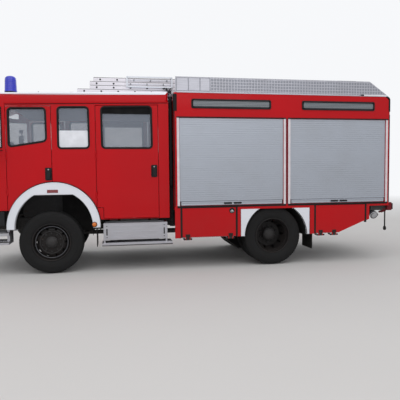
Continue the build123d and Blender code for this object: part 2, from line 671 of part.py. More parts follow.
def cab_floor():
    """Stepped floor: foot well, platform over engine and wheels, crew floor."""
    half = CAB_HALF_WIDTH - WALL
    s_well, s_plat = -ARCH_INNER_R - 65 + ARCH_STATION, ARCH_STATION + ARCH_OUTER_R + 20
    top = PLATFORM_BOTTOM + FLOOR_THICK
    crew = CREW_FLOOR_BOTTOM + FLOOR_THICK
    well = FRONT_SKIRT_Z + FLOOR_THICK
    s_front = HINGE_LINE - 55
    points = [
        (s_front, FRONT_SKIRT_Z), (s_well, FRONT_SKIRT_Z),
        (s_well, PLATFORM_BOTTOM), (s_plat, PLATFORM_BOTTOM),
        (s_plat, CREW_FLOOR_BOTTOM), (CAB_BACK - WALL, CREW_FLOOR_BOTTOM),
        (CAB_BACK - WALL, crew), (s_plat + FLOOR_THICK, crew),
        (s_plat + FLOOR_THICK, top), (s_well - FLOOR_THICK, top),
        (s_well - FLOOR_THICK, well), (s_front, well),
    ]
    floor = side_plate(points, -half, half)
    front = extrude(Pos(0, 0, FRONT_SKIRT_Z) * cab_plan(WALL, 0), amount=FLOOR_THICK)
    return floor + front


def cab_back():
    half = CAB_HALF_WIDTH - WALL
    s0, s1 = CAB_BACK - WALL, CAB_BACK
    return side_plate([
        (s0, CREW_FLOOR_BOTTOM - 40), (s1, CREW_FLOOR_BOTTOM - 40),
        (s1, drip_z(s1)), (s0, drip_z(s0)),
    ], -half, half)


def cab_side():
    """Left side of the cab behind the front door's hinges, with both doorways."""
    y0, y1 = CAB_HALF_WIDTH - WALL, CAB_HALF_WIDTH
    points = [
        (HINGE_LINE, drip_z(HINGE_LINE)), (HINGE_LINE, drip_z(HINGE_LINE) - HEADER),
        (FRONT_DOOR_REAR, drip_z(FRONT_DOOR_REAR) - HEADER),
        (FRONT_DOOR_REAR, CREW_SILL_Z), (CAB_BACK, CREW_SILL_Z),
        (CAB_BACK, drip_z(CAB_BACK)),
    ]
    panel = side_plate(points, y0, y1)
    doorway = [
        (CREW_HINGE_LINE, drip_z(CREW_HINGE_LINE) - HEADER),
        (CREW_DOOR_REAR, drip_z(CREW_DOOR_REAR) - HEADER),
        (CREW_DOOR_REAR, CREW_DOOR_BOTTOM - SEAM), (CREW_NOTCH, CREW_DOOR_BOTTOM - SEAM),
        (CREW_NOTCH, CREW_NOTCH_Z - SEAM), (CREW_HINGE_LINE, CREW_NOTCH_Z - SEAM),
    ]
    panel -= side_plate(doorway, y0 - 1, y1 + 1)
    panel -= rounded_window(MID_WINDOW, y0 - 1, y1 + 1)
    panel -= across(ARCH_OUTER_R, ARCH_STATION, y0 - 1, y1 + 1, ARCH_Z)
    for hinge in door_hinges(CREW_HINGE_LINE, CREW_HINGE_HEIGHTS):
        panel = panel + hinge["fixed"] - hinge["room"]
    return panel


def cab_glass():
    """Windscreen and the two fixed side windows."""
    y1 = CAB_HALF_WIDTH - 20
    pane = rounded_window(MID_WINDOW, y1 - GLASS, y1)
    return [windscreen()] + both_sides(pane)


def roof_tray(inset, drop):
    """Solid of the roof's outer or inner shape, drawn in by inset."""
    s0, s1 = -CAB_NOSE + SCREEN_LEAN, CAB_BACK
    half = CAB_HALF_WIDTH
    points = [
        (s0 + inset, DRIP_FRONT_Z + drop), (s0 + inset, DRIP_FRONT_Z + 70 - inset),
        (s0 + 160, drip_z(s0 + 160) + ROOF_RISE - inset - 12),
        (s0 + 330, drip_z(s0 + 330) + ROOF_RISE - inset),
        (s1 - inset, drip_z(s1) + ROOF_RISE - inset), (s1 - inset, drip_z(s1) + drop),
        (HINGE_LINE, DRIP_FRONT_Z + drop),
    ]
    solid = side_plate(points, -half + inset, half - inset)
    tops = [e for e in solid.edges() if abs(abs(e.center().Y) - half + inset) < 1
            and e.center().Z > DRIP_FRONT_Z + 60]
    return fillet(tops, 62 - inset * 0.5)


def cab_roof():
    """Hollow roof: a shallow tray turned over, highest at the rear."""
    roof = roof_tray(0, 0) - roof_tray(ROOF_SKIN, -5)
    half, corner = CAB_HALF_WIDTH, CAB_CORNER_R
    front = at(-CAB_NOSE + SCREEN_LEAN)
    for side in (1, -1):
        cut = Pos(front - corner / 2, side * (half - corner / 2), DRIP_FRONT_Z + 200)
        cut = cut * Box(corner, corner, 600)
        keep = Pos(front - corner, side * (half - corner), DRIP_FRONT_Z + 200)
        roof -= cut - keep * Cylinder(corner, 602)
    return roof


# ---- doors
FRONT_HINGE_HEIGHTS = (1340.0, 1900.0)
CREW_HINGE_HEIGHTS = (1240.0, 1900.0)
HINGE_R = 11.0
HINGE_LENGTH = 60.0
CREW_DOOR_BOTTOM = 880.0
CREW_NOTCH = 830.0             # the crew door starts higher ahead of this station
CREW_NOTCH_Z = 1060.0


def door_hinges(line, heights):
    """Barrels on the left skin: the door's half between two fixed halves."""
    hinges = []
    y = CAB_HALF_WIDTH
    s = line + SEAM / 2
    for z in heights:
        half = HINGE_LENGTH / 2
        moving = upright(HINGE_R, s, y, z - half, z + half)
        fixed = upright(HINGE_R, s, y, z + half + RUNNING_GAP, z + half + 40)
        fixed += upright(HINGE_R, s, y, z - half - 40, z - half - RUNNING_GAP)
        fixed += block(s - 18, s - SEAM / 2, y - 30, y, z + half + 2, z + half + 38)
        fixed += block(s - 18, s - SEAM / 2, y - 30, y, z - half - 38, z - half - 2)
        moving += block(s + SEAM / 2 - 1, s + 18, y - 10, y, z - half, z + half)
        hinges.append({
            "moving": moving,
            "fixed": fixed,
            "room": upright(HINGE_R + 5, s, y, z - half - 0.1, z + half + 0.1),
            "notch": upright(HINGE_R + 5, s, y, z + half + 0.1, z + half + 45)
            + upright(HINGE_R + 5, s, y, z - half - 45, z - half - 0.1),
        })
    return hinges


def hang(door, hinges):
    for hinge in hinges:
        door = door - hinge["notch"] + hinge["moving"]
    return door


def front_door():
    """Left front door leaf and its pane."""
    y0, y1 = CAB_HALF_WIDTH - WALL, CAB_HALF_WIDTH
    s0, s1 = HINGE_LINE + SEAM, FRONT_DOOR_REAR - SEAM
    leaf = side_plate([
        (s0, drip_z(s0) - HEADER - SEAM), (s1, drip_z(s1) - HEADER - SEAM),
        (s1, ARCH_Z), (s0, FRONT_SKIRT_Z),
    ], y0, y1)
    leaf -= across(ARCH_OUTER_R + ARCH_GAP, ARCH_STATION, y0 - 1, y1 + 1, ARCH_Z)
    leaf -= across(ARCH_OUTER_R + WALL + 2, ARCH_STATION, y0 - 1, y1 - DOOR_SKIN, ARCH_Z)
    leaf -= block(s0 - 5, s1 + 5, y0 - 1, y1 + 1, 0, FRONT_SKIRT_Z)
    leaf -= rounded_window(FRONT_WINDOW, y0 - 1, y1 + 1)
    leaf = hang(leaf, door_hinges(HINGE_LINE, FRONT_HINGE_HEIGHTS))
    pane = rounded_window(FRONT_WINDOW, y1 - 20 - GLASS, y1 - 20)
    return [leaf, pane]


def crew_door():
    """Left crew door leaf and its pane."""
    y0, y1 = CAB_HALF_WIDTH - WALL, CAB_HALF_WIDTH
    s0, s1 = CREW_HINGE_LINE + SEAM, CREW_DOOR_REAR - SEAM
    leaf = side_plate([
        (s0, drip_z(s0) - HEADER - SEAM), (s1, drip_z(s1) - HEADER - SEAM),
        (s1, CREW_DOOR_BOTTOM), (CREW_NOTCH + SEAM, CREW_DOOR_BOTTOM),
        (CREW_NOTCH + SEAM, CREW_NOTCH_Z), (s0, CREW_NOTCH_Z),
    ], y0, y1)
    leaf -= rounded_window(CREW_WINDOW, y0 - 1, y1 + 1)
    leaf = hang(leaf, door_hinges(CREW_HINGE_LINE, CREW_HINGE_HEIGHTS))
    pane = rounded_window(CREW_WINDOW, y1 - 20 - GLASS, y1 - 20)
    return [leaf, pane]


# ---- cab fittings
GRILLE_BOTTOM = 1210.0
GRILLE_TOP = 1800.0
GRILLE_HALF = CAB_HALF_WIDTH - 400.0
DASH_TOP = SCREEN_BOTTOM - 30.0
SEAT_FRONT = -330.0            # front edge of the driver's seat
BENCH_FRONT = 1240.0
PLATFORM_TOP = PLATFORM_BOTTOM + FLOOR_THICK
CREW_FLOOR_TOP = CREW_FLOOR_BOTTOM + FLOOR_THICK


def grille():
    """Slatted panel on the cab's front face."""
    s1 = -CAB_NOSE
    panel = block(s1 - 18, s1, -GRILLE_HALF, GRILLE_HALF, GRILLE_BOTTOM, GRILLE_TOP)
    slats = 7
    pitch = (GRILLE_TOP - GRILLE_BOTTOM) / (slats + 0.5)
    for n in range(slats):
        z = GRILLE_BOTTOM + pitch * (n + 0.55)
        panel += block(s1 - 34, s1 - 18, -GRILLE_HALF + 30, GRILLE_HALF - 30, z, z + 34)
    return panel


def seat(y, width, s_front, z_floor):
    """Seat facing forward: box, cushion, back and head rest as one solid."""
    y0, y1 = y - width / 2, y + width / 2
    shape = block(s_front + 40, s_front + 440, y0 + 40, y1 - 40, z_floor, z_floor + 230)
    shape += block(s_front, s_front + 480, y0, y1, z_floor + 230, z_floor + 350)
    back = side_plate([
        (s_front + 400, z_floor + 330), (s_front + 500, z_floor + 330),
        (s_front + 590, z_floor + 930), (s_front + 500, z_floor + 930),
    ], y0, y1)
    return shape + back


def seats():
    y = CAB_HALF_WIDTH - 500
    made = [seat(side * y, 500, SEAT_FRONT, PLATFORM_TOP) for side in (1, -1)]
    made.append(seat(0, 600, SEAT_FRONT, PLATFORM_TOP))
    made.append(seat(0, 2 * CAB_HALF_WIDTH - 420, BENCH_FRONT, CREW_FLOOR_TOP))
    return made


STEERING_WHEEL_R = 215.0


def dashboard():
    """Dashboard under the windscreen, with steering column and wheel."""
    half = CAB_HALF_WIDTH - WALL - 4
    middle = CAB_HALF_WIDTH - CAB_CORNER_R - 20

    def section(corners):
        """Corners behind the cab's front face and below the dashboard's top."""
        return [(-CAB_NOSE + back, DASH_TOP - drop) for back, drop in corners]

    dash = side_plate(section([
        (300, 500), (480, 440), (500, 100), (300, 0), (WALL + 40, 20), (WALL, 500),
    ]), -middle, middle)
    dash += side_plate(section([
        (330, 400), (480, 360), (500, 120), (330, 40),
    ]), -half, half)
    pivot = Pos(at(-CAB_NOSE + 590), CAB_HALF_WIDTH - 520, DASH_TOP - 50) * Rot(0, -62, 0)
    wheel = pivot * Torus(STEERING_WHEEL_R, 16)
    spokes = pivot * Box(2 * STEERING_WHEEL_R - 10, 44, 14)
    spokes += pivot * Box(44, 2 * STEERING_WHEEL_R - 10, 14)
    hub = pivot * (Cylinder(55, 50) + Pos(0, 0, -150) * Cylinder(32, 300))
    return dash + wheel + spokes + hub


def mirrors():
    """Mirror heads on two arms at the cab's front corners."""
    s, y = -CAB_NOSE + 330, CAB_HALF_WIDTH
    low, high = DRIP_FRONT_Z - 755, DRIP_FRONT_Z - 315
    head = block(s - 70, s + 20, y + 90, y + 300, low, high)
    head = fillet(head.edges().filter_by(Axis.X), 30)
    for z in (low - 120, high + 60):
        head += block(s - 35, s - 10, y, y + 190, z, z + 25)
    head += block(s - 35, s - 10, y + 165, y + 190, low - 120, high + 85)
    return both_sides(head)


BEACON_R = 98.0
BEACON_STATION = -600.0
BEACON_TOP = BODY_TOP + 265.0
BEACON_Y = CAB_HALF_WIDTH - 310.0
SCENE_LIGHT_Z = (BODY_TOP - 260.0, BODY_TOP - 103.0)
SCENE_LIGHT_INSET = (212.0, 232.0)     # from a shutter's front and rear ends
HEADLAMP_Y = (BUMPER_HALF_WIDTH - 655.0, BUMPER_HALF_WIDTH - 315.0)
HEADLAMP_Z = (790.0, 960.0)
HEADLAMP_DEPTH = 40.0
TAIL_LAMP_Y = (BODY_HALF_WIDTH - 390.0, BODY_HALF_WIDTH - 40.0)
TAIL_LAMP_Z = (915.0, 1025.0)


def lamps():
    """Beacons, scene lights, headlamps and tail lamps."""
    made = []
    for side in (1, -1):
        base = drip_z(BEACON_STATION) + ROOF_RISE
        beacon = upright(BEACON_R, BEACON_STATION, side * BEACON_Y, base - 20, base + 40)
        beacon += upright(BEACON_R - 12, BEACON_STATION, side * BEACON_Y, base + 40,
                          BEACON_TOP)
        made.append(beacon - roof_tray(0, 0))
        for s0, s1 in SHUTTER_ENDS:
            s0, s1 = s0 + SCENE_LIGHT_INSET[0], s1 - SCENE_LIGHT_INSET[1]
            y0, y1 = side * BODY_HALF_WIDTH, side * (BODY_HALF_WIDTH + 14)
            made.append(block(s0, s1, y0, y1, *SCENE_LIGHT_Z))
        y0, y1 = side * HEADLAMP_Y[0], side * HEADLAMP_Y[1]
        made.append(block(-FRONT_OVERHANG, -FRONT_OVERHANG + HEADLAMP_DEPTH, y0, y1,
                          *HEADLAMP_Z))
        y0, y1 = side * TAIL_LAMP_Y[0], side * TAIL_LAMP_Y[1]
        made.append(block(REAR_BAR_END, REAR_BAR_END + 30, y0, y1, *TAIL_LAMP_Z))
    return made


# ---- equipment body
FLAP1 = (BODY_FRONT + FLAP_FRONT_MARGIN, PANEL_FRONT - POST - FLAP_SEAM)
FLAP2 = (PANEL_REAR + POST + FLAP_SEAM + 30, TAIL_END - POST - FLAP_SEAM)
REAR_BAR_END = REAR_AXLE + 2250.0
REAR_BAR_HALF = BODY_HALF_WIDTH - 40.0
REAR_BAR_BOTTOM = 900.0
REAR_BAR_TOP = 1040.0
SIDE_Y0 = BODY_HALF_WIDTH - BODY_SKIN


def skirt_z(station):
    """Height of the body's lower edge, which rises behind the tail's kink."""
    if station <= TAIL_KINK:
        return SKIRT_BOTTOM
    share = (station - TAIL_KINK) / (TAIL_END - TAIL_KINK)
    return SKIRT_BOTTOM + share * (TAIL_END_Z - SKIRT_BOTTOM)


def flap_outline(ends, inset, below):
    """Corners of a flap or its opening, whose lower edge follows the skirt."""
    s0, s1 = ends[0] - inset, ends[1] + inset
    points = [(s0, FLAP_TOP + inset * 0.6), (s0, skirt_z(s0) + below)]
    if s1 > TAIL_KINK:
        points.append((TAIL_KINK, SKIRT_BOTTOM + below))
    return points + [(s1, skirt_z(s1) + below), (s1, FLAP_TOP + inset * 0.6)]


def body_side():
    """Left side: shutter openings, posts, skirts and the flaps' openings."""
    y0, y1 = SIDE_Y0, BODY_HALF_WIDTH
    side = side_plate([
        (BODY_FRONT, BODY_TOP), (BODY_FRONT, SKIRT_BOTTOM), (PANEL_FRONT, SKIRT_BOTTOM),
        (PANEL_FRONT, REAR_ARCH_FLAT), (PANEL_REAR, REAR_ARCH_FLAT),
        (PANEL_REAR, SKIRT_BOTTOM), (TAIL_KINK, SKIRT_BOTTOM), (TAIL_END, TAIL_END_Z),
        (TAIL_END, BODY_FLOOR_BOTTOM), (BODY_REAR, BODY_FLOOR_BOTTOM),
        (BODY_REAR, BODY_TOP),
    ], y0, y1)
    for s0, s1 in SHUTTER_ENDS:
        side -= block(s0, s1, y0 - 1, y1 + 1, SHUTTER_BOTTOM, SHUTTER_TOP)
    for ends in (FLAP1, FLAP2):
        side -= side_plate(flap_outline(ends, FLAP_SEAM, -5), y0 - 1, y1 + 1)
    return side


SHUTTER_ENDS = (
    (BODY_FRONT + SHUTTER_FRONT_MARGIN, SHUTTER_SPLIT),
    (SHUTTER_SPLIT + SHUTTER_POST, BODY_REAR - SHUTTER_REAR_MARGIN),
)


def hinge_stations(ends):
    """Middles of a flap's two hinges, along the level part of its lower edge."""
    last = min(ends[1], TAIL_KINK)
    return (ends[0] + 90, last - 90)


def tail_rounding(shape, radius):
    """Rounds the top rear corner of a body piece in side view."""
    cut = block(BODY_REAR - radius, BODY_REAR + 1, -BEYOND, BEYOND, BODY_TOP - radius,
                BODY_TOP + 1)
    keep = across(radius, BODY_REAR - radius, -BEYOND, BEYOND, BODY_TOP - radius)
    return shape - (cut - keep)


def flap_hinge_fixed(station):
    """Fixed barrels each side of a flap's hinge, on a tab under the locker."""
    made = None
    for end in (-1, 1):
        a = station + end * (FLAP_BARREL / 2 + END_GAP)
        b = station + end * (FLAP_BARREL / 2 + 30)
        barrel = along(FLAP_BARREL_R, a, b, FLAP_HINGE_Y, FLAP_HINGE_Z)
        barrel += block(a, b, SIDE_Y0 - 70, FLAP_HINGE_Y, FLAP_HINGE_Z - 8,
                        FLAP_HINGE_Z + 8)
        barrel += block(a, b, SIDE_Y0 - 70, SIDE_Y0 - 45, FLAP_HINGE_Z - 8, LOCKER_BOTTOM)
        made = barrel if made is None else made + barrel
    return made


LOCKER_BOTTOM = SKIRT_BOTTOM + 5.0


def locker(ends):
    """Left lower locker: a box open to the side, behind a flap."""
    y0, y1 = SIDE_Y0 - LOCKER_DEPTH, SIDE_Y0
    s0, s1 = ends[0] - FLAP_SEAM - LOCKER_WALL, ends[1] + FLAP_SEAM + LOCKER_WALL

    def outline(inset):
        a, b = s0 + inset, s1 - inset
        points = [(a, BODY_FLOOR_BOTTOM - inset), (a, skirt_z(a) + 5 + inset)]
        if b > TAIL_KINK:
            points.append((TAIL_KINK, LOCKER_BOTTOM + inset))
        return points + [(b, skirt_z(b) + 5 + inset), (b, BODY_FLOOR_BOTTOM - inset)]

    box = side_plate(outline(0), y0, y1)
    box -= side_plate(outline(LOCKER_WALL), y0 + LOCKER_WALL, y1 + 1)
    for s in hinge_stations(ends):
        box += flap_hinge_fixed(s)
    return box


def lower_lockers():
    return both_sides(locker(FLAP1)) + both_sides(locker(FLAP2))


def flap(ends):
    """Left fold-down flap with its hinge barrels under the lower edge."""
    y1 = BODY_HALF_WIDTH
    leaf = side_plate(flap_outline(ends, 0, FLAP_GAP), y1 - FLAP_THICK, y1)
    for s in hinge_stations(ends):
        a, b = s - FLAP_BARREL / 2, s + FLAP_BARREL / 2
        leaf += along(FLAP_BARREL_R, a, b, FLAP_HINGE_Y, FLAP_HINGE_Z)
        leaf += block(a, b, FLAP_HINGE_Y - 8, FLAP_HINGE_Y + 8, FLAP_HINGE_Z,
                      SKIRT_BOTTOM + FLAP_GAP + 1)
    return leaf


def body_floor():
    """Floor between the sides, raised over the rear wheels."""
    half = SIDE_Y0
    floor = block(BODY_FRONT + BODY_WALL, BODY_REAR - BODY_WALL, -half, half,
                  BODY_FLOOR_BOTTOM, BODY_FLOOR_TOP)
    s0, s1 = REAR_AXLE - HOUSING_HALF, REAR_AXLE + HOUSING_HALF
    for side in (1, -1):
        y0, y1 = side * HOUSING_Y, side * half
        floor += block(s0 - 20, s1 + 20, y0 - side * 20, y1, BODY_FLOOR_BOTTOM,
                       HOUSING_TOP + 20)
        floor -= block(s0, s1, y0, y1 + side, BODY_FLOOR_BOTTOM - 1, HOUSING_TOP)
    return floor


REAR_OPENING_HALF = BODY_HALF_WIDTH - 630.0
REAR_SHUTTER_BOTTOM = 1120.0


def body_end_walls():
    """Plain front wall, and rear wall with the pump bay's opening."""
    front = block(BODY_FRONT, BODY_FRONT + BODY_WALL, -SIDE_Y0, SIDE_Y0,
                  BODY_FLOOR_BOTTOM, BODY_TOP - BODY_WALL)
    wall = block(BODY_REAR - BODY_WALL, BODY_REAR, -SIDE_Y0, SIDE_Y0,
                 BODY_FLOOR_BOTTOM, BODY_TOP)
    wall -= block(BODY_REAR - BODY_WALL - 1, BODY_REAR + 1, -REAR_OPENING_HALF,
                  REAR_OPENING_HALF, REAR_SHUTTER_BOTTOM, SHUTTER_TOP)
    return [front, tail_rounding(wall, TAIL_R)]


def body_roof():
    """Roof plate with the light mast's tube hanging under its collar."""
    roof = block(BODY_FRONT, BODY_REAR - BODY_WALL, -SIDE_Y0, SIDE_Y0,
                 BODY_TOP - BODY_WALL, BODY_TOP)
    roof = tail_rounding(roof, TAIL_R)
    outer = MAST_R + RUNNING_GAP + MAST_TUBE_WALL
    roof += upright(outer, MAST_STATION, MAST_Y, MAST_BOTTOM, MAST_COLLAR_Z)
    return roof - upright(MAST_R + RUNNING_GAP, MAST_STATION, MAST_Y,
                          MAST_BOTTOM - 1, MAST_COLLAR_Z + 1)


def roller_shutters():
    """Five closed shutters, each with its lifting bar."""
    made = []
    y1 = BODY_HALF_WIDTH - SHUTTER_INSET
    for s0, s1 in SHUTTER_ENDS:
        curtain = block(s0, s1, y1 - SHUTTER_THICK, y1, SHUTTER_BOTTOM, SHUTTER_TOP)
        curtain += block(s0 + 40, s1 - 40, y1, y1 + 10, SHUTTER_BOTTOM + 6,
                         SHUTTER_BOTTOM + 60)
        made += both_sides(curtain)
    s1 = BODY_REAR - SHUTTER_INSET
    rear = block(s1 - SHUTTER_THICK, s1, -REAR_OPENING_HALF, REAR_OPENING_HALF,
                 REAR_SHUTTER_BOTTOM, SHUTTER_TOP)
    rear += block(s1, s1 + 10, -REAR_OPENING_HALF + 40, REAR_OPENING_HALF - 40,
                  REAR_SHUTTER_BOTTOM + 6, REAR_SHUTTER_BOTTOM + 60)
    return made + [rear]


# ---- rear end
JAW_Z = 760.0
JAW_PIN_R = 20.0
JAW_GAP = 60.0
JAW_PLATE = 30.0
JAW_HOLE = REAR_AXLE + REAR_REACH - 45.0


def rear_bumper():
    """Rear crossbeam with tread, its brackets and the tow jaw."""
    s0 = REAR_BAR_END
    bar = block(BODY_REAR, s0, -REAR_BAR_HALF, REAR_BAR_HALF, REAR_BAR_BOTTOM, REAR_BAR_TOP)
    for side in (1, -1):
        y0, y1 = side * (RAIL_OUTER_Y - RAIL_WIDTH), side * RAIL_OUTER_Y
        bar += block(RAIL_END, BODY_REAR, y0, y1, RAIL_BOTTOM + 40, BODY_FLOOR_BOTTOM)
        bar += block(BODY_REAR - 300, BODY_REAR, side * (BODY_HALF_WIDTH - 160),
                     side * (BODY_HALF_WIDTH - 90), REAR_BAR_BOTTOM, BODY_FLOOR_BOTTOM)
    bar += block(RAIL_END, s0 - 60, -RAIL_OUTER_Y, RAIL_OUTER_Y, RAIL_BOTTOM + 40, 862)
    end = REAR_AXLE + REAR_REACH
    low, high = JAW_Z - JAW_GAP / 2, JAW_Z + JAW_GAP / 2
    jaw = block(s0 - 60, JAW_HOLE, -70, 70, low - JAW_PLATE, high + JAW_PLATE)
    jaw += upright(end - JAW_HOLE, JAW_HOLE, 0, low - JAW_PLATE, high + JAW_PLATE)
    jaw -= block(s0 + 20, end + 1, -90, 90, low, high)
    jaw -= upright(JAW_PIN_R, JAW_HOLE, 0, low - JAW_PLATE - 1, high + JAW_PLATE + 1)
    return bar + jaw


PUMP_FRONT = BODY_REAR - 420.0
PUMP_REAR = BODY_REAR - 120.0
PUMP_HALF = 300.0
PUMP_BOTTOM = 700.0
OUTLET_R = 66.0
OUTLET_TILT = -118.0


def pump():
    """Pump casing under the tail, with a capped outlet at each side."""
    casing = block(PUMP_FRONT, PUMP_REAR, -PUMP_HALF, PUMP_HALF, PUMP_BOTTOM,
                   BODY_FLOOR_BOTTOM)
    elbow_y, cap_y = BODY_HALF_WIDTH - 290, BODY_HALF_WIDTH - 175
    for side in (1, -1):
        casing += block(PUMP_REAR - 120, PUMP_REAR - 20, side * PUMP_HALF,
                        side * (elbow_y - 60), RAIL_TOP + 5, RAIL_TOP + 85)
        elbow = Pos(at(PUMP_REAR - 70), side * elbow_y, RAIL_TOP + 10)
        casing += elbow * Rot(side * OUTLET_TILT, 0, 0) * Cylinder(OUTLET_R - 18, 260)
        cap = Pos(at(PUMP_REAR - 70), side * cap_y, RAIL_TOP - 50)
        casing += cap * Rot(side * OUTLET_TILT, 0, 0) * Cylinder(OUTLET_R, 60)
    return casing


# ---- roof equipment
GALLERY_FRONT = BODY_FRONT + 40.0
GALLERY_END = BODY_REAR - 25.0
GALLERY_BOTTOM = BODY_TOP + GALLERY_FOOT
GALLERY_TOP = GALLERY_BOTTOM + GALLERY_HEIGHT
BEARERS = [GALLERY_FRONT + share * (GALLERY_END - GALLERY_FRONT)
           for share in (0.02, 0.49, 0.69)]
LADDER_BASE = GALLERY_BOTTOM + BEARER
# both stacks, from the lowest: front end and rear end as stations
LEFT_LADDERS = [(BODY_FRONT - front, BODY_FRONT - front + 2720)
                for front in (1560, 1350, 1350, 1290)]
RIGHT_LADDERS = [(BODY_FRONT - 840 + slip, BODY_REAR - 565 + slip) for slip in (0, 200)]


def roof_gallery():
    """Plate walls along both edges of the roof, joined by cross bearers."""
    gallery = None
    for side in (1, -1):
        y0, y1 = sorted((side * (GALLERY_Y - GALLERY_PLATE), side * GALLERY_Y))
        plate = side_plate([
            (GALLERY_FRONT, GALLERY_TOP), (GALLERY_FRONT, GALLERY_BOTTOM),
            (GALLERY_END, GALLERY_BOTTOM), (GALLERY_END - GALLERY_SLOPE, GALLERY_TOP),
        ], y0, y1)
        gallery = plate if gallery is None else gallery + plate
    reach = GALLERY_Y - GALLERY_PLATE / 2
    for s in BEARERS:
        gallery += block(s - BEARER / 2, s + BEARER / 2, -reach, reach,
                         GALLERY_BOTTOM, GALLERY_BOTTOM + BEARER)
        for side in (1, -1):
            gallery += block(s - BEARER / 2, s + BEARER / 2, side * (reach - 40),
                             side * reach, BODY_TOP, GALLERY_BOTTOM)
    return gallery


def roof_ladder(s0, s1, y, z):
    """One ladder lying on its face: two beams and its rungs."""
    half = LADDER_WIDTH / 2
    made = None
    for side in (1, -1):
        y0, y1 = y + side * half, y + side * (half - LADDER_BEAM)
        beam = block(s0, s1, y0, y1, z, z + LADDER_LAYER)
        made = beam if made is None else made + beam
    count = int((s1 - s0 - 200) / RUNG_PITCH) + 1
    for n in range(count):
        s = s0 + 110 + n * RUNG_PITCH
        mid = z + LADDER_LAYER / 2
        made += block(s - RUNG / 2, s + RUNG / 2, y - half + 5, y + half - 5,
                      mid - RUNG / 2, mid + RUNG / 2)
    return made


ACCESS_PITCH = 290.0


def access_ladder():
    """Ladder up the rear wall to the roof, on the right."""
    y, half = -BODY_HALF_WIDTH + 350, 190
    s = BODY_REAR + 60
    z0, z1 = REAR_BAR_TOP, BODY_TOP + 250
    made = None
    for side in (1, -1):
        rail = upright(17, s, y + side * half, z0, z1)
        made = rail if made is None else made + rail
        for z in (z0 + 80, (z0 + BODY_TOP) / 2, BODY_TOP - 200):
            made += along(12, BODY_REAR, s, y + side * half, z)
    for n in range(int((BODY_TOP - z0 - 40) / ACCESS_PITCH) + 1):
        z = z0 + 40 + n * ACCESS_PITCH
        made += across(14, s, y - half, y + half, z)
    return made


def ladders():
    made = []
    for side, stack in ((1, LEFT_LADDERS), (-1, RIGHT_LADDERS)):
        for n, (s0, s1) in enumerate(stack):
            y = side * LADDER_Y
            made.append(roof_ladder(s0, s1, y, LADDER_BASE + n * LADDER_LAYER))
    return made + [access_ladder()]


def light_mast():
    """Inner tube of the light mast, with the collar that its head turns on."""
    mast = upright(MAST_R, MAST_STATION, MAST_Y, MAST_BOTTOM + 30, MAST_HEAD_Z)
    return mast + upright(MAST_R + 20, MAST_STATION, MAST_Y, MAST_HEAD_Z - 40, MAST_HEAD_Z)


def mast_head():
    """Turning head: a housing on the tube's end, with two cheeks for the lamps' shaft."""
    low = MAST_HEAD_Z + END_GAP
    head = block(MAST_STATION - 120, MAST_STATION + 50, MAST_Y - 60, MAST_Y + 60,
                 low, low + 30)
    head += block(MAST_STATION - 120, MAST_STATION - 30, MAST_Y - 50, MAST_Y + 50,
                  low, low + 90)
    for side in (1, -1):
        y0, y1 = MAST_Y + side * 40, MAST_Y + side * 60
        head += block(TILT_STATION - 30, TILT_STATION + 30, y0, y1, low, TILT_Z + 30)
    return head - across(TILT_R + RUNNING_GAP, TILT_STATION, MAST_Y - 70, MAST_Y + 70, TILT_Z)


def floodlights():
    """Two floodlights on one shaft, folded flat behind the mast's head."""
    lights = across(TILT_R, TILT_STATION, MAST_Y - 100, MAST_Y + 100, TILT_Z)
    for side in (1, -1):
        y0, y1 = MAST_Y + side * 66, MAST_Y + side * 100
        lights += block(TILT_STATION - 20, TILT_STATION + 90, y0, y1,
                        TILT_Z - 20, TILT_Z + 20)
        y0, y1 = MAST_Y + side * 20, MAST_Y + side * 260
        lights += block(TILT_STATION + 70, MAST_STATION + 490, y0, y1,
                        TILT_Z - 50, TILT_Z + 60)
    lights += block(TILT_STATION + 90, TILT_STATION + 120, MAST_Y - 30, MAST_Y + 30,
                    TILT_Z - 20, TILT_Z + 20)
    return lights


MUDFLAP = 12.0


def mudflaps():
    """Rubber flaps behind the wheels, and slanted guards ahead of the rear ones."""
    rear = FLAP2[0] - FLAP_SEAM - LOCKER_WALL
    s = ARCH_STATION + ARCH_INNER_R + 55
    front = block(s, s + MUDFLAP, FRONT_WHEEL_Y - 140, FRONT_WHEEL_Y + 190, 420,
                  ARCH_FOOT_Z)
    back = block(rear - MUDFLAP, rear, REAR_WHEEL_Y - 302, REAR_WHEEL_Y + 128, 250, 700)
    guard = side_plate([
        (PANEL_FRONT - 315, LOCKER_BOTTOM), (PANEL_FRONT - 15, 300),
        (PANEL_FRONT, 300), (PANEL_FRONT - 295, LOCKER_BOTTOM),
    ], REAR_WHEEL_Y - 282, REAR_WHEEL_Y + 78)
    return both_sides(front) + both_sides(back) + both_sides(guard)


# ---- output
def solids_of(shape):
    """Every solid of a shape or of a list of shapes."""
    if isinstance(shape, list):
        return [s for one in shape for s in solids_of(one)]
    return list(shape.solids())


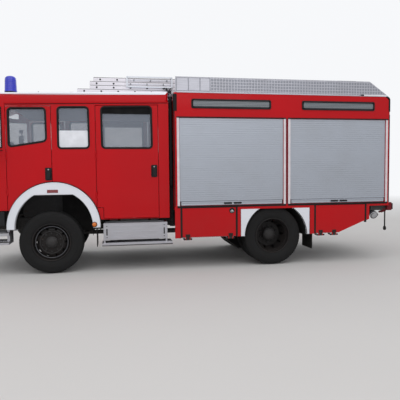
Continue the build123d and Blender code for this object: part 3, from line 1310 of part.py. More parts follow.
def nodes():
    front = place_wheel(front_rim(), 0)
    rear = place_wheel(rear_rim(), REAR_AXLE)
    front_tyre = place_wheel(tyre(FRONT_WHEEL_Y), 0)
    rear_tyres = [place_wheel(tyre(y), REAR_AXLE)
                  for y in (REAR_WHEEL_Y, INNER_WHEEL_Y)]
    made = {
        "chassis_frame": chassis_frame(),
        "axles": [front_axle(), rear_axle()],
        "engine_and_drive": engine_and_drive(),
        "tanks": tanks(),
        "exhaust": exhaust(),
        "air_intake": air_intake(),
        "front_bumper": front_bumper(),
        "steps": steps(),
        "wheel_arch_trims": wheel_arch_trims(),
        "cab_front": cab_front(),
        "cab_floor": cab_floor(),
        "cab_back": cab_back(),
        "cab_sides": both_sides(cab_side()),
        "cab_roof": cab_roof(),
        "cab_glass": cab_glass(),
        "grille": grille(),
        "seats": seats(),
        "dashboard": dashboard(),
        "mirrors": mirrors(),
        "lamps": lamps(),
        "body_floor": body_floor(),
        "body_end_walls": body_end_walls(),
        "body_sides": both_sides(tail_rounding(body_side(), TAIL_R)),
        "body_roof": body_roof(),
        "roller_shutters": roller_shutters(),
        "lower_lockers": lower_lockers(),
        "rear_bumper": rear_bumper(),
        "pump": pump(),
        "roof_gallery": roof_gallery(),
        "ladders": ladders(),
        "light_mast": light_mast(),
        "mast_head": mast_head(),
        "floodlights": floodlights(),
        "mudflaps": mudflaps(),
    }
    pairs = {
        "knuckle": knuckle(),
        "front_tyre": front_tyre,
        "front_rim": front,
        "rear_tyres": rear_tyres,
        "rear_rim": rear,
        "front_door": front_door(),
        "crew_door": crew_door(),
        "front_flap": flap(FLAP1),
        "rear_flap": flap(FLAP2),
    }
    for name, shape in pairs.items():
        left = solids_of(shape)
        made[name + "_left"] = left
        made[name + "_right"] = [other_side(s) for s in left]
    return made


if __name__ == "__main__":
    os.makedirs("parts", exist_ok=True)
    for name, shape in nodes().items():
        export_step(Compound(children=solids_of(shape)), f"parts/{name}.step")
        print(name, len(solids_of(shape)))
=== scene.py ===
import json
from math import cos, pi, radians, sin

import bmesh
import bpy
from mathutils import Matrix, Vector

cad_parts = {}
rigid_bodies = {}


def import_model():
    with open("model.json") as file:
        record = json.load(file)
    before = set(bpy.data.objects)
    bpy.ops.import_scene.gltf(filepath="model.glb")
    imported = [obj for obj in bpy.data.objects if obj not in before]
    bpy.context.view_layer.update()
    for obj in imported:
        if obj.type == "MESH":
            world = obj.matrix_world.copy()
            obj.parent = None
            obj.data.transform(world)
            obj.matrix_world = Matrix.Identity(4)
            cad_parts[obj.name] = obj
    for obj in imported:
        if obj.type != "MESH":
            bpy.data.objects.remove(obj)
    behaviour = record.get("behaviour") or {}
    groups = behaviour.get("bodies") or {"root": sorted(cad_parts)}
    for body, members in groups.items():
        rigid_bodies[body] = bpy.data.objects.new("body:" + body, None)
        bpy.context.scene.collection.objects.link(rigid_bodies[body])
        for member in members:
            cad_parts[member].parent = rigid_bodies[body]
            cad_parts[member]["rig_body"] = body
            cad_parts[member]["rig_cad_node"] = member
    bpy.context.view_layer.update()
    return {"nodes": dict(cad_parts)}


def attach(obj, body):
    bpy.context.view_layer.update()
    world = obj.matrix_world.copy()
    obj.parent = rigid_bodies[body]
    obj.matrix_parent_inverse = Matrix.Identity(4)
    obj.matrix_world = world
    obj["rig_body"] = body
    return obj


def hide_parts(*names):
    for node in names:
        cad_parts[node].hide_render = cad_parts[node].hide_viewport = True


# Fire engine: the CAD frame dressed with detailed pieces and finishes. Metres, +X
# forward, +Y the vehicle's left, +Z up. A station is a distance behind the front axle.

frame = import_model()
print("frame loaded:", len(frame["nodes"]), "nodes")

vehicle = {
    "axleX": 2.405, "rearAxle": 3.7, "axleZ": 0.51,
    "cabSide": 1.16, "bodySide": 1.25, "bodyTop": 2.925,
    "cabBack": 1.91, "bodyFront": 1.99, "bodyRear": 5.865,
}
cabSide, bodySide, bodyTop = vehicle["cabSide"], vehicle["bodySide"], vehicle["bodyTop"]
bodyFront, bodyRear = vehicle["bodyFront"], vehicle["bodyRear"]
rearAxle, axleZ = vehicle["rearAxle"], vehicle["axleZ"]


def at(station):
    return vehicle["axleX"] - station


arches = {"front": (at(0.06), 0.757), "rear": (at(3.745), 0.51)}     # centres, x and z


# camera, light and floor
cameraSetup = {
    "place": (1.413, 8.943, 1.607), "yaw": 10.45, "pitch": 3.31, "roll": 0.55,
    "lens": 42.3, "sensor": 36.0,
}
backdropWhite = (0.93, 0.94, 0.96, 1)


def makeCamera():
    yaw, pitch, roll = (radians(cameraSetup[k]) for k in ("yaw", "pitch", "roll"))
    look = Vector((-sin(yaw) * cos(pitch), -cos(yaw) * cos(pitch), -sin(pitch)))
    side = Vector((-cos(yaw), sin(yaw), 0))
    up = side.cross(look)
    right = side * cos(roll) - up * sin(roll)
    up = side * sin(roll) + up * cos(roll)
    turn = Matrix((right, up, -look)).transposed().to_4x4()
    turn.translation = Vector(cameraSetup["place"])
    bpy.ops.object.camera_add()
    camera = bpy.context.object
    camera.matrix_world = turn
    camera.data.lens = cameraSetup["lens"]
    camera.data.sensor_width = cameraSetup["sensor"]
    camera.data.clip_end = 300
    bpy.context.scene.camera = camera


makeCamera()


# shader maths
class Wire:                      # one output socket, used like a number
    def __init__(self, tree, socket):
        self.tree, self.socket = tree, socket

    def calc(self, operation, *values):
        node = self.tree.nodes.new("ShaderNodeMath")
        node.operation = operation
        for place, value in enumerate(values):
            if isinstance(value, Wire):
                self.tree.links.new(value.socket, node.inputs[place])
            else:
                node.inputs[place].default_value = value
        return Wire(self.tree, node.outputs[0])

    def __add__(self, other): return self.calc("ADD", self, other)
    def __radd__(self, other): return self.calc("ADD", other, self)
    def __sub__(self, other): return self.calc("SUBTRACT", self, other)
    def __rsub__(self, other): return self.calc("SUBTRACT", other, self)
    def __mul__(self, other): return self.calc("MULTIPLY", self, other)
    def __rmul__(self, other): return self.calc("MULTIPLY", other, self)
    def __truediv__(self, other): return self.calc("DIVIDE", self, other)
    def __mod__(self, other): return self.calc("FLOORED_MODULO", self, other)
    def __pow__(self, other): return self.calc("POWER", self, other)
    def __abs__(self): return self.calc("ABSOLUTE", self)
    def __lt__(self, other): return self.calc("LESS_THAN", self, other)

    def sine(self): return self.calc("SINE", self)
    def floor(self): return self.calc("FLOOR", self)
    def most(self, other): return self.calc("MAXIMUM", self, other)

    def fade(self, start, end):  # 0 at start, 1 at end, held between
        node = self.tree.nodes.new("ShaderNodeMapRange")
        node.inputs["From Min"].default_value = start
        node.inputs["From Max"].default_value = end
        self.tree.links.new(self.socket, node.inputs["Value"])
        return Wire(self.tree, node.outputs[0])


def rgb(red, green, blue):       # screen colour to the scene's own
    return tuple(((c / 255 + 0.055) / 1.055) ** 2.4 if c > 10 else c / 3294.6
        for c in (red, green, blue)) + (1.0,)


def tinted(colour, share, lift=0.0):       # a darker or lighter one
    return tuple(share * c + lift for c in colour[:3]) + (1.0,)


class Finish:                    # a material being made on one Principled surface
    def __init__(self, name, colour, roughness, metallic=0.0, **constants):
        self.material = bpy.data.materials.new(name)
        self.material.use_nodes = True
        self.tree = self.material.node_tree
        self.surface = self.tree.nodes["Principled BSDF"]
        self.colour, self.height = colour, None
        self.surface.inputs["Base Color"].default_value = colour
        self.surface.inputs["Roughness"].default_value = roughness
        self.surface.inputs["Metallic"].default_value = metallic
        for socket, value in constants.items():
            self.surface.inputs[socket.replace("_", " ")].default_value = value

    def node(self, kind, settings=None, sockets=None, out=0):
        made = self.tree.nodes.new("ShaderNode" + kind)
        for name, value in (settings or {}).items():
            setattr(made, name, value)
        for name, value in (sockets or {}).items():
            if isinstance(value, Wire):
                self.tree.links.new(value.socket, made.inputs[name])
            else:
                made.inputs[name].default_value = value
        return Wire(self.tree, made.outputs[out])

    def point(self, stretch=(1, 1, 1), turn=(0, 0, 0)):
        place = self.node("TexCoord", out=3)
        return self.node("Mapping", None, {"Vector": place, "Scale": stretch, "Rotation": turn})

    def axes(self, turn=(0, 0, 0)):
        place = self.point(turn=turn)
        return [self.node("SeparateXYZ", None, {"Vector": place}, out) for out in range(3)]

    def facing(self, axis):      # 1 where the surface faces along an axis, either way
        normal = self.node("NewGeometry", out=1)
        return abs(self.node("SeparateXYZ", None, {"Vector": normal}, axis))

    def noise(self, scale, detail, stretch=(1, 1, 1)):
        return self.node("TexNoise", None, {"Vector": self.point(stretch), "Scale": scale,
            "Detail": detail, "Roughness": 0.5})

    def cells(self, scale, feature="F1"):
        return self.node("TexVoronoi", {"feature": feature},
            {"Vector": self.point(), "Scale": scale})

    def shade(self, mask, colour):        # mixes a colour in where the mask is 1
        base = self.colour
        self.colour = self.node("Mix", {"data_type": "RGBA"}, {0: mask, 6: base, 7: colour},
            out=2)
        return self.put("Base Color", self.colour)

    def put(self, socket, wire):
        self.tree.links.new(wire.socket, self.surface.inputs[socket])
        return self

    def bump(self, height, depth, strength):
        sockets = {"Height": height, "Distance": depth, "Strength": strength}
        if self.height:
            sockets["Normal"] = self.height
        self.height = self.node("Bump", None, sockets)
        return self.put("Normal", self.height)


def roadDirt(finish, top, share):   # splashed dirt that fades out upwards
    height = finish.axes()[2]
    low = 1 - height.fade(0.25, top)
    patch = finish.noise(3.2, 5).fade(0.32, 0.72)
    return low * (0.35 + 0.65 * patch) * share


# finishes
def gloss(name, colour, dirt, roughness=0.3):     # sprayed coach paint
    paint = Finish(name, colour, roughness, Coat_Roughness=0.06, Coat_IOR=1.3,
        Specular_IOR_Level=0.1)
    soft = tinted(colour, 0.84, 0.003)
    paint.shade(paint.noise(0.9, 2).fade(0.35, 0.7) * 0.5, soft)
    mud = roadDirt(paint, 1.5, dirt)
    paint.shade(mud, rgb(96, 84, 74))
    paint.put("Roughness", roughness + 0.3 * mud + 0.06 * paint.noise(40, 3))
    paint.put("Coat Weight", 0.4 - 0.35 * mud)
    paint.bump(paint.noise(420, 2), 0.0006, 0.12)
    return paint.material


def metal(name, colour, roughness, grain, along, depth=0.0003, streak=0.35, metallic=0.85):
    # drawn or rolled sheet, its grain along one axis
    sheet = Finish(name, colour, roughness, metallic=metallic)
    stretch = tuple(0.04 if axis == along else 1.0 for axis in "xyz")
    lines = sheet.noise(grain, 4, stretch)
    dark = tinted(colour, 0.62)
    sheet.shade(lines.fade(0.35, 0.75) * streak, dark)
    sheet.shade(sheet.noise(2.2, 5).fade(0.45, 0.85) * 0.14, rgb(128, 124, 118))
    sheet.put("Roughness", roughness - 0.08 + 0.2 * lines)
    sheet.bump(lines, depth, 0.35)
    return sheet.material


def cast(name, colour, roughness, dirt, metallic=0.0):     # cast or brushed-on coating
    part = Finish(name, colour, roughness, metallic=metallic)
    light = tinted(colour, 1.5, 0.01)
    part.shade(part.noise(26, 6).fade(0.45, 0.75) * 0.5, light)
    rust = part.noise(9, 7).fade(0.62, 0.72)
    part.shade(rust * 0.35, rgb(86, 54, 38))
    mud = roadDirt(part, 1.3, dirt)
    part.shade(mud, rgb(104, 94, 84))
    part.put("Roughness", roughness + 0.25 * rust.most(mud))
    part.bump(part.noise(180, 4), 0.0012, 0.35)
    return part.material


def moulded(name, colour, roughness, grain, dirt=0.0):       # grained plastic
    part = Finish(name, colour, roughness, Specular_IOR_Level=0.22)
    light = tinted(colour, 1.35, 0.015)
    part.shade(part.noise(8, 4).fade(0.4, 0.75) * 0.4, light)
    part.put("Roughness", roughness - 0.05 + 0.14 * part.noise(60, 3))
    if dirt:
        part.shade(roadDirt(part, 1.1, dirt), rgb(110, 102, 92))
    part.bump(part.cells(grain), 0.0004, 0.25)
    return part.material


def treadPlate():                # raised crossed lozenges on rolled aluminium
    sheet = Finish("treadPlate", rgb(172, 171, 174), 0.34, metallic=0.85)
    x, y, z = sheet.axes((0, 0, pi / 4))
    pitch = 0.034
    level = sheet.facing(2)
    down = (x + y) * (1 - level) + z * (1 - level) * 1.41 + y * level
    u, v = x % pitch - pitch / 2, down % pitch - pitch / 2
    odd = ((x / pitch).floor() + (down / pitch).floor()) % 2
    long = abs(u) * odd + abs(v) * (1 - odd)
    wide = abs(v) * odd + abs(u) * (1 - odd)
    lozenge = 1 - (long / 0.0145 + wide / 0.0042).fade(0.75, 1.05)
    worn = sheet.noise(7, 5).fade(0.4, 0.75)
    sheet.shade(worn * 0.4 * (1 - lozenge), rgb(108, 104, 100))
    sheet.shade(lozenge * 0.4, rgb(206, 205, 207))
    sheet.put("Roughness", 0.42 - 0.16 * lozenge + 0.12 * worn)
    sheet.bump(lozenge, 0.0018, 0.8)
    return sheet.material


def tyreRubber():
    part = Finish("tyreRubber", rgb(15, 15, 16), 0.85, Specular_IOR_Level=0.3)
    dust = part.noise(14, 6).fade(0.4, 0.8)
    part.shade(dust * 0.25, rgb(48, 46, 44))
    part.put("Roughness", 0.72 + 0.2 * dust)
    part.bump(part.noise(260, 4), 0.0008, 0.4)
    part.bump(part.noise(20, 2), 0.0015, 0.2)
    return part.material


def windowGlass(name, colour, alpha):
    pane = Finish(name, colour, 0.03, IOR=1.5, Coat_Weight=0.4)
    pane.surface.inputs["Alpha"].default_value = alpha
    film = pane.noise(3.5, 5).fade(0.4, 0.8)
    pane.put("Alpha", alpha + 0.07 * film)
    pane.put("Roughness", 0.02 + 0.06 * film)
    pane.bump(pane.noise(1.6, 1), 0.002, 0.12)
    return pane.material


def lens(name, colour, alpha, ribs, axis):           # ribbed clear plastic
    part = Finish(name, colour, 0.08, Coat_Weight=0.5)
    ridge = (part.axes()[axis] * (2 * pi * ribs)).sine()
    deep = tinted(colour, 0.55)
    part.shade(ridge.fade(-0.2, 1.0) * 0.5, deep)
    part.put("Alpha", alpha + (1 - alpha) * 0.25 * ridge.fade(-1, 1))
    part.bump(ridge, 0.0016, 0.6)
    part.put("Roughness", 0.06 + 0.1 * part.noise(20, 4))
    return part.material


def reflectorFoil(name, colour):                # honeycomb reflector
    part = Finish(name, colour, 0.2, Coat_Weight=1.0)
    cell = part.cells(170, "DISTANCE_TO_EDGE")
    part.shade(1 - cell.fade(0, 0.09), tinted(colour, 0.5))
    part.put("Roughness", 0.14 + 0.2 * part.noise(30, 3))
    part.bump(cell, 0.0008, 0.6)
    return part.material


def mirrorGlass():
    glass = Finish("mirrorGlass", rgb(196, 202, 208), 0.03, metallic=1.0)
    smear = glass.noise(6, 5, (1, 1, 3)).fade(0.5, 0.8)
    glass.shade(smear * 0.2, rgb(150, 152, 156))
    glass.put("Roughness", 0.02 + 0.1 * smear)
    glass.bump(glass.noise(3, 1), 0.0005, 0.1)
    return glass.material


def lampReflector():
    part = Finish("lampReflector", rgb(214, 216, 220), 0.12, metallic=1.0)
    cell = part.cells(70)
    part.put("Roughness", 0.08 + 0.12 * part.noise(14, 3))
    part.shade(cell.fade(0.2, 0.9) * 0.3, rgb(150, 153, 160))
    part.bump(cell, 0.002, 0.5)
    return part.material


def seatCloth():
    cloth = Finish("seatCloth", rgb(58, 60, 66), 0.9, Sheen_Weight=0.35)
    x, y, z = cloth.axes()
    threads = 2 * pi * 330
    weave = ((x + z) * threads).sine() * (y * threads).sine()
    cloth.shade(weave.fade(-0.4, 1.0) * 0.4, rgb(84, 87, 94))
    cloth.shade(cloth.noise(5, 5).fade(0.45, 0.75) * 0.3, rgb(44, 45, 50))
    stripe = abs(y % 0.06 - 0.03) < 0.0035
    cloth.shade(stripe * 0.55, rgb(96, 100, 110))
    cloth.put("Roughness", 0.84 + 0.12 * cloth.noise(90, 3))
    cloth.bump(weave, 0.0007, 0.5)
    cloth.bump(cloth.noise(28, 4), 0.003, 0.2)
    return cloth.material


def webbing(name, colour):
    strap = Finish(name, colour, 0.85, Sheen_Weight=0.2)
    x, y, z = strap.axes()
    twill = ((x + y + z) * (2 * pi * 260)).sine()
    strap.shade(twill.fade(-0.2, 1) * 0.4, tinted(colour, 1.6, 0.01))
    strap.put("Roughness", 0.78 + 0.15 * strap.noise(60, 3))
    strap.bump(twill, 0.0006, 0.6)
    return strap.material


def louvreLens():                # banded glass of the strip lights
    part = Finish("louvreLens", rgb(122, 130, 136), 0.16, Coat_Weight=0.4)
    band = (part.axes()[2] * (2 * pi * 44)).sine()
    prism = (part.axes()[0] * (2 * pi * 120)).sine()
    part.shade(band.fade(-0.1, 0.9), rgb(70, 74, 78))
    part.shade(prism.fade(0.2, 1) * 0.2, rgb(176, 182, 188))
    part.put("Roughness", 0.12 + 0.12 * part.noise(12, 4))
    part.bump(band, 0.002, 0.5)
    return part.material


def studioFloor():
    ground = Finish("studioFloor", rgb(206, 204, 202), 0.9)
    ground.shade(ground.noise(0.7, 4).fade(0.3, 0.8) * 0.15, rgb(196, 194, 192))
    ground.put("Roughness", 0.86 + 0.08 * ground.noise(9, 3))
    ground.bump(ground.noise(60, 4), 0.001, 0.1)
    x, y = ground.axes()[:2]     # far away it fades to the background's white
    far = ((x * x + y * y) ** 0.5).fade(9.0, 26.0)
    rays = [ground.node("LightPath", out=out) for out in (0, 3, 6)]
    white = ground.node("Emission", None, {"Color": backdropWhite})
    mixed = ground.node("MixShader", None, {0: far * rays[0].most(rays[1]).most(rays[2]),
        1: Wire(ground.tree, ground.surface.outputs[0]), 2: white})
    ground.tree.links.new(mixed.socket, ground.tree.nodes["Material Output"].inputs[0])
    return ground.material


paints = {
    "red": gloss("redPaint", rgb(190, 8, 20), 0.12),
    "white": gloss("whitePaint", rgb(234, 237, 244), 0.14, 0.36),
    "wheel": gloss("wheelPaint", rgb(24, 24, 26), 0.12, 0.5),
    # a darker copy of the red paint, which paints the shade on red parts that lie in shadow
    "deepRed": gloss("shadedRed", rgb(112, 10, 26), 0.2, 0.4),
    "hub": cast("hubCasting", rgb(25, 25, 28), 0.6, 0.12, 0.15),
    "ringSteel": cast("ringSteel", rgb(74, 76, 82), 0.5, 0.2, 0.3),
    "black": gloss("blackGloss", rgb(24, 24, 26), 0.25, 0.34),
    "chassis": cast("chassisBlack", rgb(34, 34, 36), 0.55, 0.5),
    "cast": cast("castIron", rgb(66, 66, 68), 0.6, 0.4, 0.3),
    "steel": cast("galvanised", rgb(138, 140, 142), 0.5, 0.3, 0.7),
    "alloy": metal("brushedAlloy", rgb(184, 184, 190), 0.34, 160, "x"),
    "upright": metal("brushedUpright", rgb(186, 186, 192), 0.34, 160, "z"),
    "shutter": metal("anodisedSlat", rgb(170, 175, 184), 0.42, 120, "x", 0.0001, 0.08),
    "rearShutter": metal("anodisedRear", rgb(170, 175, 184), 0.42, 120, "y", 0.0001, 0.08),
    "rack": metal("rackAlloy", rgb(190, 190, 198), 0.46, 90, "x", 0.0005),
    "mesh": metal("pressedPanel", rgb(150, 152, 160), 0.5, 90, "x", 0.0003),
    "ladder": metal("ladderAlloy", rgb(228, 224, 230), 0.5, 90, "x", 0.0003, 0.1, 0.3),
    "tread": treadPlate(),
    "tyre": tyreRubber(),
    "rubber": moulded("blackRubber", rgb(16, 16, 17), 0.66, 300, 0.12),
    "plastic": moulded("blackPlastic", rgb(26, 26, 28), 0.5, 620),
    "shade": moulded("shadeCloth", rgb(8, 8, 9), 0.85, 900),
    "grey": moulded("greyPlastic", rgb(112, 113, 116), 0.55, 520),
    "dash": moulded("dashGrain", rgb(64, 65, 69), 0.6, 420),
    "liner": moulded("cabLining", rgb(150, 150, 148), 0.7, 300),
    "mat": moulded("floorMat", rgb(52, 52, 54), 0.75, 180, 0.2),
    # the panes' pale blue-grey is partly their tint and partly painted sky reflection
    "glass": windowGlass("clearGlass", rgb(146, 154, 168), 0.38),
    "screen": windowGlass("screenGlass", rgb(120, 130, 140), 0.3),
    "film": moulded("whiteFilm", rgb(226, 228, 234), 0.35, 900),
    "blue": lens("blueLens", rgb(10, 30, 190), 0.97, 34, 2),
    "redLens": lens("redLens", rgb(190, 16, 22), 0.9, 55, 1),
    "amber": lens("amberLens", rgb(226, 118, 22), 0.92, 55, 1),
    "clear": lens("clearLens", rgb(214, 218, 222), 0.42, 40, 1),
    "louvre": louvreLens(),
    "mirror": mirrorGlass(),
    "redFoil": reflectorFoil("redReflector", rgb(128, 14, 24)),
    "bowl": lampReflector(),
    "cloth": seatCloth(),
    "strap": webbing("strapWeb", rgb(26, 26, 30)),
    "belt": webbing("beltWeb", rgb(44, 44, 48)),
    "guide": moulded("guideStrip", rgb(216, 208, 212), 0.4, 500),
    "chrome": metal("polishedSteel", rgb(206, 206, 208), 0.16, 40, "x", 0.0001),
    "brass": metal("capAlloy", rgb(196, 198, 202), 0.3, 60, "z"),
}
print("finishes:", len(paints))


# modelling by hand
def only(piece):                 # the one selected and active object
    if bpy.context.object and bpy.context.object.mode != "OBJECT":
        bpy.ops.object.mode_set(mode="OBJECT")
    bpy.ops.object.select_all(action="DESELECT")
    piece.select_set(True)
    bpy.context.view_layer.objects.active = piece
    return piece


def edit(piece, kind="FACE", test=None):   # edit mode, with what passes selected
    only(piece)
    bpy.ops.object.mode_set(mode="EDIT")
    bpy.ops.mesh.select_mode(type=kind)
    bpy.ops.mesh.select_all(action="SELECT" if test is None else "DESELECT")
    if test:
        shape = bmesh.from_edit_mesh(piece.data)
        for item in {"FACE": shape.faces, "EDGE": shape.edges, "VERT": shape.verts}[kind]:
            if test(item):
                item.select_set(True)
        shape.select_flush_mode()
        bmesh.update_edit_mesh(piece.data)


def done(piece):
    bpy.ops.object.mode_set(mode="OBJECT")
    return piece


def towards(*way, least=0.9):    # a test for faces that look one way
    look = Vector(way).normalized()
    return lambda face: face.normal.dot(look) > least


def settle(piece):               # doubles merged, faces outward, place in the mesh
    only(piece)
    bpy.ops.object.transform_apply(location=True, rotation=True, scale=True)
    edit(piece)
    bpy.ops.mesh.remove_doubles(threshold=5e-05)
    bpy.ops.mesh.normals_make_consistent(inside=False)
    return done(piece)


def modified(piece, kind, **settings):     # a modifier, applied at once
    only(piece)
    modifier = piece.modifiers.new(kind.lower(), kind)
    for name, value in settings.items():
        setattr(modifier, name, value)
    bpy.ops.object.modifier_apply(modifier=modifier.name)
    return piece


def block(low, high, bevel=0.003, segments=2):     # a box with rounded edges
    centre = [(a + b) / 2 for a, b in zip(low, high)]
    size = [abs(b - a) for a, b in zip(low, high)]
    bpy.ops.object.select_all(action="DESELECT")
    bpy.ops.mesh.primitive_cube_add(size=1, location=centre, scale=size)
    piece = bpy.context.object
    bpy.ops.object.transform_apply(location=True, rotation=True, scale=True)
    edit(piece)
    bpy.ops.mesh.bevel(offset=min(bevel, 0.45 * min(size)), segments=segments, affect="EDGES")
    return done(piece)


def drawn(points, closed=True):  # one vertex pulled from point to point
    bpy.ops.object.select_all(action="DESELECT")
    bpy.ops.mesh.primitive_plane_add(size=0.1, location=points[0])
    piece = bpy.context.object
    bpy.ops.object.transform_apply(location=True, rotation=True, scale=True)
    edit(piece, "VERT")
    bpy.ops.mesh.merge(type="CENTER")
    for before, after in zip(points, points[1:]):
        step = [b - a for a, b in zip(before, after)]
        bpy.ops.mesh.extrude_region_move(TRANSFORM_OT_translate={"value": step})
    if closed:
        bpy.ops.mesh.select_all(action="SELECT")
        bpy.ops.mesh.edge_face_add()
    return done(piece)


def flat(x, y, z):               # a rectangle's corners; one of x, y, z is a plain number
    if not isinstance(x, tuple):
        return [(x, y[0], z[0]), (x, y[1], z[0]), (x, y[1], z[1]), (x, y[0], z[1])]
    if not isinstance(y, tuple):
        return [(x[0], y, z[0]), (x[1], y, z[0]), (x[1], y, z[1]), (x[0], y, z[1])]
    return [(x[0], y[0], z), (x[1], y[0], z), (x[1], y[1], z), (x[0], y[1], z)]


def rounded(points, corner):     # a drawn face with rounded corners
    piece = drawn(points)
    if corner:
        edit(piece, "VERT")
        bpy.ops.mesh.bevel(offset=corner, segments=6, affect="VERTICES")
        done(piece)
    return piece


def lifted(piece, reach, edge):  # a face pulled out by reach, its rims bevelled
    edit(piece)
    bpy.ops.mesh.extrude_region_move(TRANSFORM_OT_translate={"value": reach})
    done(piece)
    settle(piece)
    if edge:
        look = Vector(reach).normalized()

        def rim(e):
            slopes = [abs(face.normal.dot(look)) for face in e.link_faces]
            return any(s > 0.9 for s in slopes) and any(s < 0.9 for s in slopes)
        edit(piece, "EDGE", rim)
        bpy.ops.mesh.bevel(offset=edge, segments=2, affect="EDGES")
        done(piece)
    return piece


def outline(points, reach, corner=0.0, edge=0.0):      # a drawn slab
    return lifted(rounded(points, corner), reach, edge)


def surround(points, width, reach, corner=0.0, edge=0.0):      # a ring inside an outline
    piece = rounded(points, corner)
    edit(piece)
    bpy.ops.mesh.inset(thickness=width, depth=0)
    bpy.ops.mesh.delete(type="FACE")
    done(piece)
    return lifted(piece, reach, edge)


def turned(profile, centre, axis="y", steps=48, closed=None):
    # a profile of (distance along, radius), spun about an axis through centre; it is
    # closed to a loop unless it begins or ends on the axis
    ahead = Vector([float(axis == name) for name in "xyz"])
    out = Vector((0, 0, 1)) if axis != "z" else Vector((1, 0, 0))
    points = [tuple(Vector(centre) + ahead * along + out * radius)
        for along, radius in profile]
    piece = drawn(points, closed=False)
    edit(piece, "VERT")
    if closed is None:
        closed = profile[0][1] > 0 and profile[-1][1] > 0
    if closed:
        shape = bmesh.from_edit_mesh(piece.data)
        ends = [v for v in shape.verts if len(v.link_edges) == 1]
        if len(ends) == 2 and (ends[0].co - ends[1].co).length > 1e-5:
            for vert in shape.verts:
                vert.select_set(vert in ends)
            bmesh.update_edit_mesh(piece.data)
            bpy.ops.mesh.edge_face_add()
    bpy.ops.mesh.select_all(action="SELECT")
    bpy.ops.mesh.spin(steps=steps, angle=2 * pi, center=centre, axis=ahead)
    bpy.ops.mesh.select_all(action="SELECT")
    bpy.ops.mesh.remove_doubles(threshold=0.00005)
    bpy.ops.mesh.normals_make_consistent(inside=False)
    return done(piece)


def pin(start, end, radius):     # profile of a plain round bar
    return (start, 0), (start, radius), (end, radius), (end, 0)


def sleeve(start, end, inner, outer):      # profile of a plain round tube
    return (start, inner), (start, outer), (end, outer), (end, inner)


def boltHead(place, radius=0.008, rise=0.004, height=0.0055):
    profile = ((0, 0), (0, radius), (rise, radius - 0.001), (height, 0))
    return turned(profile, place, steps=6)


def rod(points, radius, bend=0.0, closed=False, sides=10):     # a bar bent through points
    piece = drawn(points, closed=False)
    if closed:
        edit(piece, "VERT", lambda v: len(v.link_edges) == 1)
        bpy.ops.mesh.edge_face_add()
        done(piece)
    if bend:
        edit(piece, "VERT", lambda v: len(v.link_edges) == 2)
        bpy.ops.mesh.bevel(offset=bend, segments=5, affect="VERTICES")
        done(piece)
    only(piece)
    bpy.ops.object.convert(target="CURVE")
    piece.data.bevel_depth = radius
    piece.data.bevel_resolution = max(0, sides // 4 - 1)
    piece.data.use_fill_caps = True
    bpy.ops.object.convert(target="MESH")
    return settle(piece)


def staple(start, end, lift, radius, bend):      # a bar bent up from one foot to the other
    up = [tuple(a + b for a, b in zip(foot, lift)) for foot in (start, end)]
    return rod([start] + up + [end], radius, bend)


def copied(piece, move=(0, 0, 0), turn=None, mirror=False):    # a copy with its own mesh
    copy = piece.copy()
    copy.data = piece.data.copy()
    bpy.context.scene.collection.objects.link(copy)
    if turn:
        angle, axis, centre = turn
        about = Matrix.Translation(centre)
        copy.data.transform(about @ Matrix.Rotation(angle, 4, axis) @ about.inverted())
    if mirror:
        copy.data.transform(Matrix.Scale(-1, 4, (0, 1, 0)))
        copy.data.flip_normals()
    copy.data.transform(Matrix.Translation(move))
    return copy


def row(piece, count, step):     # the piece and its copies along a line, as one
    return modified(piece, "ARRAY", count=count, use_relative_offset=False,
        use_constant_offset=True, constant_offset_displace=step)


def ring(piece, count, centre, axis="Y"):      # copies round an axis, as one
    turns = [copied(piece, turn=(2 * pi * n / count, axis, centre)) for n in range(1, count)]
    return joined([piece] + turns)


def joined(pieces):
    only(pieces[0])
    for piece in pieces[1:]:
        piece.select_set(True)
    bpy.ops.object.join()
    return bpy.context.object


def cutOut(piece, cutter):       # takes the cutter's shape out of the piece
    modified(piece, "BOOLEAN", operation="DIFFERENCE", object=cutter, solver="EXACT")
    bpy.data.objects.remove(cutter)
    return piece


def sunk(piece, test, thickness, depth):       # the faces that pass, inset and moved in
    edit(piece, "FACE", test)
    bpy.ops.mesh.inset(thickness=thickness, depth=depth)
    return done(piece)


def softened(piece, width, segments, angle):   # edges sharper than the angle, bevelled
    return modified(piece, "BEVEL", width=width, segments=segments, limit_method="ANGLE",
        angle_limit=radians(angle), use_clamp_overlap=True)


def cadCopy(node, bevel=0.0, segments=2):      # a merged copy of a CAD node
    copy = copied(frame["nodes"][node])
    copy.parent = None
    copy.hide_viewport = copy.hide_render = False
    copy.hide_set(False)
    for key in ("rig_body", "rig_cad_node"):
        if key in copy:
            del copy[key]
    edit(copy)
    bpy.ops.mesh.remove_doubles(threshold=0.0001)
    bpy.ops.mesh.dissolve_limited(angle_limit=radians(0.5))
    done(copy)
    return softened(copy, bevel, segments, 40) if bevel else copy


def parted(piece):               # its loose parts, each an object
    only(piece)
    bpy.ops.mesh.separate(type="LOOSE")
    return list(bpy.context.selected_objects)


slots = {                        # the slot that each finish has, unless a piece says another
    "aluminium": "rack alloy tread upright chrome rearShutter mesh brass shutter guide ladder",
    "black_plastic": "plastic black shade", "grey_plastic": "grey dash liner",
    "red_paint": "red deepRed", "white_paint": "white film", "rubber": "rubber mat strap belt",
    "wheel_paint": "wheel hub ringSteel", "chassis_black": "chassis steel",
    "lamp_plastic": "amber redLens clear blue louvre redFoil bowl", "cast_dark": "cast",
    "glass": "glass screen mirror", "tyre": "tyre", "seat_fabric": "cloth",
}


